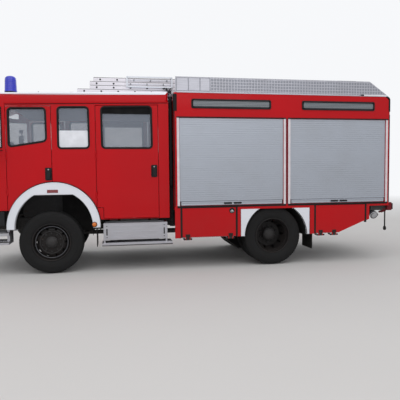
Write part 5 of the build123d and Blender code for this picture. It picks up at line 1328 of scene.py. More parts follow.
def makeLadders():
    for word, side, stack in (("left", 1, ladder["lefts"]), ("right", -1, ladder["rights"])):
        for n, (s0, s1) in enumerate(stack):
            piece, ends = oneLadder(s0, s1, side * ladder["y"],
                ladder["base"] + n * ladder["layer"])
            finished(piece, f"{word}Ladder{n + 1}", "ladder", replaces="ladders", smooth=30)
            # the ends hold the rung plugs and the strips painted as gap shade
            finished(ends, f"{word}LadderEnds{n + 1}", "rubber")
    # the frame round the upper end of the left stack
    y, half = ladder["y"] + 0.012, ladder["width"] / 2
    top = ladder["base"] + 4 * ladder["layer"] + 0.03
    side = y + half
    hoop = surround(flat((at(2.05), at(1.25)), side, (3.087, top)), 0.024, (0, 0.022, 0), 0.016,
        0.003)
    bars = [block((at(2.03), side, z - 0.004), (at(1.27), side + 0.012, z + 0.004), 0.002)
        for z in (3.145, 3.212)]
    hooks = [rod([(at(s), side + 0.01, top - 0.012), (at(s), y - half, top - 0.012)], 0.012)
        for s in (1.262, 2.038)]
    finished([hoop] + bars + hooks, "ladderFrame", "white")
    knots = []
    for s0, s1 in ((1.91, 2.05), (2.03, 1.93), (1.95, 1.98)):    # webbing at the stack's foot
        lean = [(at(s0), side + 0.02, 3.09), (at(s0) + 0.022, side + 0.02, 3.09),
            (at(s1) + 0.022, side + 0.05, 2.965), (at(s1), side + 0.05, 2.965)]
        knots.append(outline(lean, (0, 0.006, 0), 0.002))
    knots.append(block((at(2.02), side + 0.03, 3.0), (at(1.94), side + 0.055, 3.045), 0.006))
    finished(knots, "ladderStraps", "strap")


def makeAccessLadder():
    x, y, half, z0, z1 = at(5.925), -0.9, 0.19, 1.04, 3.175
    parts = []
    for side in (y + half, y - half):
        parts.append(rod([(x, side, z0), (x, side, z1)], 0.017, sides=16))
        for z in (z0 + 0.08, (z0 + bodyTop) / 2, bodyTop - 0.2):
            parts.append(rod([(at(5.865), side, z), (x, side, z)], 0.012, sides=12))
            parts.append(turned(((0, 0), (0, 0.026), (-0.006, 0.026), (-0.008, 0.02),
                (-0.008, 0)), (at(5.866), side, z), "x", 18))
    for n in range(7):
        z = z0 + 0.04 + n * 0.29
        parts.append(block((x - 0.014, y - half, z - 0.014),
            (x + 0.014, y + half, z + 0.014), 0.004))
        for m in range(9):       # grips across the tread
            start = y - half + 0.03 + m * 0.04
            parts.append(block((x - 0.011, start, z + 0.013),
                (x + 0.011, start + 0.012, z + 0.0165), 0.001, 1))
    loop = rod([(x, y + half, z1 - 0.02), (x, y + half, z1), (at(5.725), y + half, z1),
        (at(5.725), y + half, bodyTop + 0.01)], 0.016, 0.05, sides=14)
    parts += [loop, copied(loop, (0, -2 * half, 0))]
    finished(parts, "accessLadder", "rack", replaces="ladders")


def makeMast():
    s, y, z = 5.27, 0, 3.24
    tube = turned(((1.18 - z, 0), (1.18 - z, 0.04), (-0.07, 0.04), (-0.068, 0.05),
        (-0.04, 0.052), (-0.038, 0.06), (-0.004, 0.06), (0, 0.056), (0, 0)), (at(s), y, z), "z",
        32)
    finished(tube, "mastTube", "upright", replaces="light_mast", body="mast")
    head = cadCopy("mast_head", 0.005, 3)
    finished(head, "mastHead", "plastic", replaces="mast_head", body="head")
    body = cadCopy("floodlights")
    softened(body, 0.008, 3, 50)
    finished(body, "floodlightCases", "steel", slot="black_plastic", replaces="floodlights",
        body="lights")
    x0, x1, low = at(5.745), at(5.375), 3.276
    panes, bezels, fins = [], [], []
    for side in (1, -1):
        y0, y1 = sorted((y + side * 0.035, y + side * 0.245))
        pane = block((x0 + 0.012, y0 + 0.012, low - 0.003),
            (x1 - 0.012, y1 - 0.012, low + 0.002), 0.002)
        panes.append(sunk(pane, towards(0, 0, -1), 0.01, -0.0015))
        bezels.append(surround(flat((x0, x1), (y0, y1), low + 0.001), 0.014, (0, 0, -0.006),
            0.02, 0.002))
        fin = block((x0 + 0.02, y0 + 0.014, low + 0.1065),
            (x0 + 0.026, y1 - 0.014, low + 0.109), 0.001, 1)
        fins.append(row(fin, 22, (0.0152, 0, 0)))
    finished(panes, "floodlightGlass", "clear", replaces="floodlights", body="lights")
    finished(bezels + fins, "floodlightFins", "black", body="lights")
    grip = rod([(at(5.37), y - 0.06, 3.31), (at(5.3), y - 0.06, 3.345),
        (at(5.3), y + 0.06, 3.345), (at(5.37), y + 0.06, 3.31)], 0.008, 0.02)
    finished(grip, "floodlightGrip", "rubber", body="lights")


makeGallery()
makeLadders()
makeAccessLadder()
makeMast()
print("roof dressed")

# front of the cab: screen rubber, wipers, grille, mirrors
nose = {"front": 3.555, "half": 1.16, "corner": 0.32, "chin": 1.95, "brow": 2.715,
        "lean": 0.11, "screenLow": 2.03, "screenHigh": 2.65, "screenEnd": -0.70}


def noseX(z):                    # the cab's front face at a height
    up = max(0, min(1.0, (z - nose["chin"]) / (nose["brow"] - nose["chin"])))
    return nose["front"] - nose["lean"] * up


def nosePath(z, out, end=nose["screenEnd"]):     # round the nose, from left to right
    x, half, r = noseX(z) + out, nose["half"] + out, nose["corner"] + out
    turns = [n * pi / 16 for n in range(9)]
    left = [(x - r + r * sin(t), half - r + r * cos(t), z) for t in turns]
    side = [(at(end), half, z)] + left
    return side + [(a, -b, c) for a, b, c in reversed(side)]


def makeScreenTrim():
    low, high = nosePath(nose["screenLow"], 0.002), nosePath(nose["screenHigh"], 0.002)
    seal = rod(low + high[::-1], 0.013, closed=True, sides=8)
    finished(seal, "windscreenSeal", "rubber")
    finished(rod(nosePath(1.985, 0.003, -0.69), 0.006), "screenBead", "rubber")
    arms = []
    x = noseX(2.0) + 0.008
    for y in (0.62, -0.05):
        base = turned(((0, 0), (0, 0.026), (0.022, 0.024), (0.03, 0.014), (0.03, 0)),
            (x - 0.012, y, 1.99), "x", 18)
        arm = rod([(x + 0.014, y, 1.995), (x + 0.02, y - 0.1, 2.03),
            (x - 0.005, y - 0.5, 2.095)], 0.007, 0.03)
        hood = block((x + 0.004, y - 0.1, 1.98), (x + 0.024, y + 0.012, 2.012), 0.008, 3)
        blade = outline([(x - 0.018, y - 0.2, 2.055), (x + 0.002, y - 0.2, 2.06),
            (x + 0.002, y - 0.2, 2.072), (x - 0.018, y - 0.2, 2.067)], (0, -0.55, 0.045))
        spine = rod([(x + 0.001, y - 0.25, 2.078), (x + 0.008, y - 0.48, 2.098),
            (x, y - 0.7, 2.112)], 0.005, 0.02)
        arms += [base, arm, hood, blade, spine]
    finished(arms, "wipers", "plastic")
    x = noseX(1.9)
    rails = [rod(flat((x - 0.004, x + 0.05), (y - 0.2, y + 0.2), 1.89), 0.012, 0.03)
        for y in (-0.55, 0.55)]          # grab rails under the screen
    finished(rails, "noseRails", "plastic")


def makeGrille():
    low, high, half, x = 1.21, 1.8, 0.76, nose["front"]
    ringPoints = flat(x - 0.002, (-half, half), (low, high))
    rim = surround(ringPoints, 0.03, (0.024, 0, 0), 0.04, 0.006)
    back = outline(flat(x - 0.001, (-half + 0.02, half - 0.02), (low + 0.02, high - 0.02)),
        (0.005, 0, 0), 0.02)
    pitch = (high - low - 0.06) / 7
    z = low + 0.03 + pitch * 0.2
    slat = outline([(x + 0.003, -half + 0.03, z), (x + 0.02, -half + 0.03, z + 0.006),
        (x + 0.03, -half + 0.03, z + 0.018), (x + 0.026, -half + 0.03, z + 0.03),
        (x + 0.003, -half + 0.03, z + 0.05)], (0, 2 * half - 0.06, 0))
    slats = row(slat, 7, (0, 0, pitch))
    bars = [block((x + 0.002, y - 0.01, low + 0.02), (x + 0.014, y + 0.01, high - 0.02), 0.003)
        for y in (-0.5, -0.25, 0, 0.25, 0.5)]
    finished([rim, back, slats] + bars, "frontGrille", "plastic", replaces="grille")
    seam = [block((x - 0.002, -0.84, z - 0.003), (x + 0.002, 0.84, z + 0.003), 0.001)
        for z in (1.165, 1.845)]
    sides = [block((x - 0.002, y - 0.003, 1.165), (x + 0.002, y + 0.003, 1.845), 0.001)
        for y in (-0.84, 0.84)]
    finished(seam + sides, "noseSeams", "rubber")


def makeMirrors():
    casing = softened(cadCopy("mirrors"), 0.009, 3, 50)
    finished(casing, "mirrorCases", "plastic", replaces="mirrors", smooth=40)
    glass = [outline(flat(at(-0.8) + 0.001, (1.27, 1.442), span), (-0.005, 0, 0), 0.022,
        0.0015) for span in ((1.985, 2.245), (2.262, 2.38))]
    finished(glass, "mirrorGlass_left", "mirror")
    clamps = []
    for z in (1.855, 2.475):
        clamps.append(block((at(-0.862), cabSide - 0.004, z - 0.035),
            (at(-0.782), cabSide + 0.014, z + 0.035), 0.006))
        for dz in (-0.022, 0.022):
            clamps.append(boltHead((at(-0.8), cabSide + 0.013, z + dz), 0.008, 0.006, 0.007))
    finished(clamps, "mirrorFeet_left", "plastic")


# bumper, headlamps, plate
front = {"face": 3.675, "half": 1.175, "top": 1.028, "low": 0.62,
         "lampY": (0.52, 0.86), "lampZ": (0.79, 0.96)}


def makeBumper():
    bar = softened(cadCopy("front_bumper"), 0.01, 3, 50)
    x = front["face"]
    for y, half in ((0, 0.262), (-0.4, 0.047), (0.4, 0.047)):    # pockets for the plates
        cutOut(bar, block((x - 0.004, y - half, 0.828),
            (x + 0.02, y + half, 0.942), 0.0005, 1))
    finished(bar, "bumperBar", "plastic", replaces="front_bumper", smooth=40)
    vents = [surround(flat(x - 0.0005, (y - 0.075, y + 0.075), (0.645, 0.69)), 0.008,
        (-0.004, 0, 0), 0.015) for y in (-0.36, -0.18, 0, 0.18, 0.36)]
    finished(vents, "bumperVents", "rubber")
    plates = [outline(flat(x - 0.004, (y - half, y + half), (0.83, 0.94)), (0.003, 0, 0),
        0.012, 0.001) for y, half in ((0, 0.26), (-0.4, 0.045), (0.4, 0.045))]
    finished(plates[0], "frontPlate", "white")
    finished(plates[1:], "towEyeCovers", "grey")
    tread = block((x - 0.075, -0.95, front["top"] - 0.001),
        (x - 0.012, 0.95, front["top"] + 0.004), 0.002)
    finished(tread, "bumperTread", "tread")


def makeHeadlamps():
    x, (y0, y1), (z0, z1) = front["face"], front["lampY"], front["lampZ"]
    zMid = (z0 + z1) / 2
    tray = outline(flat(x - 0.038, (y0 + 0.003, y1 - 0.003), (z0 + 0.003, z1 - 0.003)),
        (0.033, 0, 0), 0.02)
    edit(tray, "FACE", towards(1, 0, 0))
    bpy.ops.mesh.inset(thickness=0.006, depth=0)
    bpy.ops.mesh.inset(thickness=0.001, depth=-0.024)
    done(tray)
    rim = surround(flat(x - 0.008, (y0, y1), (z0, z1)), 0.01, (0.008, 0, 0), 0.024, 0.002)
    finished([tray, rim], "headlampCase_left", "plastic", slot="lamp_plastic", replaces="lamps")
    bowls, bulbs = [], []
    for y, r in ((y0 + 0.088, 0.068), (y1 - 0.082, 0.06)):
        bowls.append(turned(((-0.03, 0.012), (-0.028, 0.026), (-0.022, r * 0.66),
            (-0.012, r * 0.9), (-0.008, r), (-0.006, r + 0.004), (-0.01, r + 0.004),
            (-0.024, r * 0.68), (-0.032, 0.026), (-0.033, 0.012)), (x, y, zMid), "x", 36))
        bulbs.append(turned(((-0.031, 0), (-0.031, 0.011), (-0.02, 0.011), (-0.016, 0.007),
            (-0.012, 0)), (x, y, zMid), "x", 14))
    finished(bowls + bulbs, "headlampBowls_left", "bowl", replaces="lamps")
    pane = outline(flat(x - 0.0065, (y0 + 0.008, y1 - 0.008), (z0 + 0.008, z1 - 0.008)),
        (0.004, 0, 0), 0.018, 0.001)
    finished(pane, "headlampLens_left", "clear", replaces="lamps")
    turn = outline(flat(x - 0.004, (0.882, 0.965), (0.8, 0.95)), (0.0036, 0, 0), 0.012, 0.0014)
    finished(turn, "frontIndicator_left", "amber")


def makeBeacons():
    x, y = at(-0.6), 0.85
    base = turned(((2.872, 0), (2.872, 0.092), (2.9, 0.098), (2.925, 0.098), (2.93, 0.094),
        (2.937, 0.094), (2.94, 0.088), (2.94, 0)), (x, y, 0), "z", 40)
    finished(base, "beaconBase_left", "plastic", replaces="lamps")
    dome = turned(((2.938, 0), (2.938, 0.097), (2.955, 0.097), (2.965, 0.094), (3.12, 0.089),
        (3.158, 0.083), (3.178, 0.066), (3.188, 0.04), (3.19, 0)), (x, y, 0), "z", 44)
    finished(dome, "beaconDome_left", "blue", replaces="lamps", smooth=40)
    bulb = turned(((2.945, 0), (2.945, 0.03), (2.96, 0.03), (2.97, 0.014), (3.05, 0.012),
        (3.06, 0)), (x, y, 0), "z", 18)
    shield = turned(((2.95, 0.052), (3.07, 0.052), (3.07, 0.049), (2.95, 0.049)), (x, y, 0),
        "z", 24)
    edit(shield, "FACE", lambda f: f.calc_center_median().x > x - 0.01)
    bpy.ops.mesh.delete(type="FACE")
    finished([bulb, done(shield)], "beaconWorks_left", "bowl", replaces="lamps")
    aerial = rod([(at(-0.28), 0, 2.89), (at(-0.28), 0, 2.93), (at(-0.3), 0, 3.1)], 0.005,
        0.01)
    foot = turned(((2.885, 0), (2.885, 0.035), (2.905, 0.03), (2.915, 0.012), (2.915, 0)),
        (at(-0.28), 0, 0), "z", 24)
    whip = rod([(at(-0.36), 0.62, 2.925), (at(-0.3), 0.62, 2.955), (at(0.33), 0.62, 2.985)],
        0.006, 0.02)
    feet = [block((at(s1), 0.6, low), (at(s0), 0.64, high), 0.006)
        for s1, s0, low, high in ((0.36, 0.3, 2.89, 2.995), (-0.33, -0.38, 2.88, 2.935))]
    finished([aerial, foot, whip] + feet, "roofAerials", "plastic")


def makeTailLamps():
    x, z0, z1 = at(5.98), 0.915, 1.025
    case = block((x + 0.004, 0.86, z0), (x + 0.03, 1.21, z1), 0.006, 3)
    sunk(case, towards(-1, 0, 0), 0.006, -0.004)
    finished(case, "tailLampCase_left", "plastic", slot="lamp_plastic", replaces="lamps")
    for paint, name, y0, y1 in (("redLens", "tailRed", 0.868, 0.975),
            ("clear", "tailClear", 0.978, 1.038), ("redLens", "tailStop", 1.041, 1.118),
            ("amber", "tailAmber", 1.121, 1.202)):
        pane = outline(flat(x + 0.007, (y0, y1), (z0 + 0.008, z1 - 0.008)), (-0.007, 0, 0),
            0.006, 0.002)
        finished(pane, name + "_left", paint, slot="lamp_plastic", replaces="lamps")


# steps under the doors
stepPlan = {"s0": 0.823, "s1": 1.868, "low": 0.523, "top": 0.796, "y": 1.18,
            "boardLow": 0.428, "boardTop": 0.473, "boardS": (0.798, 1.953)}


def makeSteps():
    dress("steps", "stepBoxes", "alloy")
    p, y = stepPlan, stepPlan["y"]
    ends = (p["s0"] + 0.055, p["s1"] - 0.055)
    face = [block((at(p["s1"] - 0.13), y - 0.002, z - 0.005),
        (at(p["s0"] + 0.13), y + 0.0035, z + 0.005), 0.002)
        for z in (0.56, 0.655, 0.75)]        # pressed beads along the box
    for s in ends:               # end brackets with slots
        face.append(outline(flat((at(s) - 0.035, at(s) + 0.035), y - 0.001, (0.545, 0.775)),
            (0, 0.005, 0), 0.01, 0.0015))
    rim = block((at(p["s1"]), y - 0.02, p["top"] - 0.004),
        (at(p["s0"]), y + 0.006, p["top"] + 0.004), 0.003)
    finished(face + [rim], "stepFaces_left", "alloy")
    # black patches paint the shade seen in the bracket slots; the bolt heads are black
    dark = []
    for s in ends:
        dark.append(outline(flat((at(s) - 0.01, at(s) + 0.01), y + 0.0035, (0.6, 0.71)),
            (0, 0.0012, 0), 0.0095))
        for z in (0.568, 0.752):
            dark.append(boltHead((at(s), y + 0.004, z), 0.009, 0.005, 0.0065))
    finished(dark, "stepSlots_left", "rubber")
    s0, s1 = p["boardS"]
    tooth = turned(((0, 0), (0, 0.009), (0.004, 0.0075), (0.004, 0.004),
        (0.0015, 0)), (0, 0, 0), "z", 8)
    board = [copied(tooth, (at(s0) - back, out, p["boardTop"]))
        for back, out in ((0.03, 1.165), (0.045, 1.135), (0.03, 1.105))]
    entry = [copied(tooth, (at(-0.995), out, z)) for z in (0.55, 0.7) for out in (1.13, 1.09)]
    teeth = [row(joined(board), 37, (-0.03, 0, 0)), row(joined(entry), 11, (-0.033, 0, 0))]
    bpy.data.objects.remove(tooth)
    finished(teeth, "stepTeeth_left", "alloy")
    edge = block((at(s1), y - 0.006, p["boardLow"] - 0.002),
        (at(s0), y + 0.006, p["boardLow"] + 0.01), 0.003)
    noseBars = [block((at(-0.644), 1.146, z - 0.012), (at(-1.006), 1.158, z + 0.002), 0.003)
        for z in (0.548, 0.698)]
    finished([edge] + noseBars, "stepNosing_left", "rubber")
    mat = block((at(p["s1"] - 0.035), 0.84, p["low"] + 0.024),
        (at(p["s0"] + 0.035), 1.14, p["low"] + 0.029), 0.002)
    finished(mat, "stepTread_left", "tread")


makeScreenTrim()
makeGrille()
makeMirrors()
makeBumper()
makeHeadlamps()
makeBeacons()
makeTailLamps()
makeSteps()
print("front, lamps and steps made")

# wheel-house liners, the gaiter behind the cab, a white roof skin that paints the sky's
# reflection on the cab roof, riser hose
def curved(centre, radius, turns, y, feet=()):      # a bent sheet's section, 4 mm thick
    outer, inner = [], []
    for start, end in turns:
        outer += arc(centre, radius, radians(start), radians(end), 9, y)
        inner += arc(centre, radius - 0.004, radians(start), radians(end), 9, y)
    for x, z in feet:
        outer.append((x, y, z))
        inner.append((x + 0.004, y, z))
    return outer + inner[::-1]


def makeLiners():
    flare, rear, y = arches["front"], arches["rear"], 0.476
    back = curved(flare, 0.599, ((90, 90.2), (120, 182)), 0.48, [(at(0.659), 0.6)])
    back[:9] = [(at(0.06), 0.48, 1.2755)]
    back[-9:] = [(at(0.06), 0.48, 1.2715)]
    fore = curved(flare, 0.599, ((-2, 60),), 0.99)
    fore = fore[:9] + [(at(0.06), 0.99, 1.2755), (at(0.06), 0.99, 1.2715)] + fore[9:]
    wall = [(at(0.12), y, 1.2755)] + arc(flare, 0.599, radians(120), radians(182), 9, y)
    wall += [(at(0.657), y, 0.62), (at(0.34), y, 0.62), (at(0.12), y, 0.96)]
    finished([outline(back, (0, 0.63, 0)), outline(fore, (0, 0.12, 0)),
        outline(wall, (0, 0.004, 0))], "frontLiner_left", "rubber")
    house = curved(rear, 0.554, ((-1, 58), (122, 181)), 0.6)
    finished(outline(house, (0, 0.622, 0)), "rearLiner_left", "rubber")
    gaiter = [block((at(1.99), 1.03 - 0.008 * (n % 2), 0.78 + 0.07 * n),
        (at(1.93), 1.05 - 0.008 * (n % 2), 0.852 + 0.07 * n), 0.006) for n in range(29)]
    finished(gaiter, "cabGaiter_left", "rubber")


def makeRoofSkyReflection():
    # the roof's upward faces get a white skin: painted sky reflection on the top of the red cab
    # roof
    skin = cadCopy("cab_roof")
    edit(skin, "FACE", lambda f: f.normal.z < 0.2 or f.calc_center_median().z < 2.875)
    bpy.ops.mesh.delete(type="FACE")
    done(skin)
    modified(skin, "SOLIDIFY", thickness=0.004, offset=1.0)
    finished(skin, "cabRoofSkin", "white", smooth=40)


def makeRiser():
    low, high, pitch = 1.4, 2.835, 0.023
    profile = [(low, 0)]
    for n in range(int((high - low) / pitch)):
        z = low + n * pitch
        profile += [(z, 0.026), (z + 0.005, 0.0335), (z + 0.014, 0.0335), (z + 0.019, 0.026)]
    profile += [(high, 0.026), (high, 0.036), (high + 0.036, 0.036), (high + 0.04, 0.03),
        (high + 0.04, 0)]
    hose = turned(profile, (at(1.95), 1.095, 0), "z", 18)
    clip = block((at(1.95) - 0.01, 1.075, high - 0.13), (at(1.93), 1.115, high - 0.09), 0.003)
    finished([hose, clip], "riserHose", "plastic", slot="grey_plastic", replaces="air_intake",
        smooth=30)


# hinge barrels under the flaps
def makeBarrels():
    for word, stations in (("front", (2.202, 2.935)), ("rear", (4.562, 4.815))):
        sleeves = []
        for x in map(at, stations):
            sleeves.append(turned(pin(-0.028, 0.028, 0.0155), (x, 1.242, 0.5), "x", 16))
            sleeves.append(block((x - 0.028, 1.2325, 0.502), (x + 0.028, 1.2515, 0.536),
                0.003))
        finished(sleeves, word + "Barrels_left", "black", body="left_" + word + "_flap")


# tail: crossbeam cover, outlets with caps, hoses, hanging rod
def tilted(piece, centre):       # from the z axis to the outlets' slope
    piece.data.transform(Matrix.Translation(centre) @ Matrix.Rotation(radians(-118), 4, "X"))
    return piece


def makeTail():
    x0, x1, z0, z1 = at(5.952), at(5.864), 0.898, 1.042
    jawX, outletX, feelerX = at(6.035), at(5.675), at(5.885)
    # the beam is in the darker red, which paints the shade on it
    bar = block((x0, -1.212, z0), (x1, 1.212, z1), 0.008, 3)
    finished(bar, "rearBeam", "deepRed", replaces="rear_bumper")
    jaw = cadCopy("rear_bumper", 0.002)
    finished(jaw, "rearFrame", "chassis", replaces="rear_bumper")
    tread = block((x0 + 0.006, -1.2, z1 - 0.001), (x1 - 0.004, 1.2, z1 + 0.004), 0.002)
    finished(tread, "rearTread", "tread")
    bolt = turned(((0.682, 0), (0.682, 0.014), (0.69, 0.018), (0.835, 0.018), (0.84, 0.03),
        (0.85, 0.03), (0.853, 0.02), (0.853, 0)), (jawX, 0, 0), "z", 20)
    loop = staple((jawX, -0.025, 0.85), (jawX, 0.025, 0.85), (0, 0, 0.035), 0.005, 0.012)
    eyes = [staple((at(5.93), y, 0.9), (at(5.93), y + 0.05, 0.9), (0, 0, -0.04), 0.009, 0.02)
        for y in (0.6, -0.6)]
    finished([bolt, loop] + eyes, "towPin", "steel")
    plate = outline(flat(x0 - 0.001, (0.26, 0.78), (0.925, 1.02)), (-0.003, 0, 0), 0.01, 0.001)
    finished(plate, "rearPlate", "white")
    centre = (outletX, 1.075, 0.815)
    cap = tilted(turned(((-0.03, 0), (-0.03, 0.067), (0.006, 0.067), (0.01, 0.074),
        (0.022, 0.074), (0.026, 0.068), (0.034, 0.05), (0.036, 0)), (0, 0, 0), "z", 36),
        centre)
    lug = block((0.058, -0.014, -0.004), (0.088, 0.014, 0.02), 0.004)
    other = copied(lug, turn=(pi, "Z", (0, 0, 0)))
    finished([cap, tilted(lug, centre), tilted(other, centre)], "outletCap_left", "brass",
        replaces="pump")
    elbow = rod([(outletX, 0.9, 0.9), (outletX, 0.99, 0.88), (outletX, 1.06, 0.822)], 0.05,
        0.05, sides=24)
    flange = turned(pin(0.895, 0.912, 0.072), (outletX, 0, 0.9), "y", 28)
    gland = tilted(turned(((-0.075, 0), (-0.075, 0.058), (-0.03, 0.062), (-0.028, 0)),
        (0, 0, 0), "z", 28), centre)
    finished([elbow, flange, gland], "outletElbow_left", "plastic", slot="cast_dark",
        replaces="pump")
    dress("pump", "pumpCasing", "cast", 0.006)
    # red pipes in the darker red, which paints the shade under the body on them
    pipes = [rod([(at(5.78 + 0.05 * n), 0.7, 0.99), (at(5.8 + 0.05 * n), 1.12, 0.975),
        (at(5.83 + 0.045 * n), 1.17, 0.9), (at(5.8 + 0.04 * n), 1.05, 0.86)], 0.018, 0.05,
        sides=12) for n in range(2)]
    finished(pipes, "tailPipes_left", "deepRed")
    drop = rod([(feelerX, 1.1, 0.905), (feelerX, 1.1, 0.6)], 0.012, sides=12)
    bulb = turned(((0.52, 0), (0.53, 0.022), (0.56, 0.03), (0.59, 0.022), (0.62, 0)),
        (feelerX, 1.1, 0), "z", 18)
    finished([drop, bulb], "curbFeeler_left", "rubber", alone=True)


makeLiners()
makeRoofSkyReflection()
makeRiser()
makeBarrels()
makeTail()
print("liners and tail made")

# inside the cab: seats blown up from foam blocks, belts, controls
seatPlan = {"places": ((0.66, 0.5, -0.33, 1.34), (-0.66, 0.5, -0.33, 1.34),
                       (0, 0.6, -0.33, 1.34), (0.635, 0.625, 1.24, 0.945),
                       (0, 0.625, 1.24, 0.945), (-0.635, 0.625, 1.24, 0.945)),
            "width": 0.5, "panel": 0.155, "voxel": 0.014, "cap": 0.02,
            "pressure": 4.0, "lean": 9.5}


def puffed(pad):                 # cloth over foam: remeshed, blown up, its travel capped
    modified(pad, "REMESH", mode="VOXEL", voxel_size=seatPlan["voxel"])
    start = [vert.co.copy() for vert in pad.data.vertices]
    only(pad)
    cloth = pad.modifiers.new("cloth", "CLOTH")
    cloth.settings.use_pressure = True
    cloth.settings.uniform_pressure_force = seatPlan["pressure"]
    cloth.settings.effector_weights.gravity = 0
    cloth.point_cache.frame_start, cloth.point_cache.frame_end = 1, 20
    for number in range(1, 21):
        bpy.context.scene.frame_set(number)
    bpy.ops.object.modifier_apply(modifier=cloth.name)
    bpy.context.scene.frame_set(1)
    for vert, before in zip(pad.data.vertices, start):
        way = vert.co - before
        if way.length > seatPlan["cap"]:
            vert.co = before + way.normalized() * seatPlan["cap"]
    return modified(pad, "SUBSURF", levels=1, render_levels=1)


def sewn(pad, seams, depth=0.009, wide=0.014):      # channels pressed in along seams
    moves = []
    for vert in pad.data.vertices:
        near = min(abs(seam(vert.co)) for seam in seams)
        moves.append(vert.normal * (-depth * max(0, 1 - near / wide) ** 1.4))
    for vert, way in zip(pad.data.vertices, moves):
        vert.co += way
    return pad


def makeSeats():
    half = seatPlan["width"] / 2 - 0.014
    cushion = puffed(block((-0.465, -half, 0.015), (-0.015, half, 0.105), 0.03, 4))

    def across(axis, place):     # a seam that runs from one side seam to the other
        return lambda p: p[axis] - place if abs(p.y) < seatPlan["panel"] else 1
    edges = lambda p: abs(p.y) - seatPlan["panel"]
    sewn(cushion, [edges, across(0, -0.17), across(0, -0.3)])
    back = puffed(block((-0.04, -half, -0.285), (0.04, half, 0.285), 0.03, 4))
    sewn(back, [edges, lambda p: p.z - 0.17, across(2, -0.12), across(2, 0.03)])
    back.data.transform(Matrix.Rotation(radians(-seatPlan["lean"]), 4, "Y"))
    for n, (y, width, s, floor) in enumerate(seatPlan["places"]):
        wider = Matrix.Scale(width / seatPlan["width"], 4, (0, 1, 0))
        for pad, word, place in ((cushion, "Cushion", (at(s), y, floor + 0.235)),
                (back, "Back", (at(s + 0.495), y, floor + 0.63))):
            piece = copied(pad)
            piece.data.transform(Matrix.Translation(place) @ wider)
            finished(piece, f"seat{word}{n + 1}", "cloth", replaces="seats", smooth=60)
    for pad in (cushion, back):
        bpy.data.objects.remove(pad)
    boxes, shells = [], []
    for y, width, s, floor in seatPlan["places"]:
        half = width / 2
        boxes.append(block((at(s + 0.44), y - half + 0.04, floor),
            (at(s + 0.05), y + half - 0.04, floor + 0.232), 0.015, 3))
        for side in (-1, 1):
            edge = sorted((y + side * (half - 0.06), y + side * (half - 0.025)))
            shells.append(block((at(s + 0.46), edge[0], floor + 0.2),
                (at(s + 0.03), edge[1], floor + 0.245), 0.01))
            shells.append(turned(((0, 0), (0, 0.036), (side * 0.016, 0.034),
                (side * 0.018, 0)), (at(s + 0.44), y + side * (half - 0.012), floor + 0.29),
                "y", 24))
    finished(boxes, "seatBoxes", "plastic", replaces="seats")
    finished(shells, "seatFrames", "grey", replaces="seats")
    belts, buckles = [], []
    for n, (y, width, s, floor) in enumerate(seatPlan["places"]):
        side = 1 if y >= 0 else -1
        top, low = y + side * (width / 2 - 0.1), y - side * (width / 2 - 0.12)
        strap = outline([(at(s + 0.442), top, floor + 0.93),
            (at(s + 0.442), top + 0.045, floor + 0.93),
            (at(s + 0.352), low + 0.06, floor + 0.4), (at(s + 0.352), low + 0.005,
            floor + 0.4)], (0.0025, 0, 0))
        lap = outline([(at(s + 0.35), low - side * 0.02, floor + 0.385),
            (at(s + 0.31), low - side * 0.02, floor + 0.39),
            (at(s + 0.31), top + side * 0.06, floor + 0.385),
            (at(s + 0.35), top + side * 0.06, floor + 0.38)], (0, 0, 0.0025))
        belts += [strap, lap]
        buckles.append(block((at(s + 0.36), low - 0.02, floor + 0.35),
            (at(s + 0.3), low + 0.03, floor + 0.405), 0.008))
    finished(belts, "seatBelts", "belt")
    finished(buckles, "beltBuckles", "plastic")


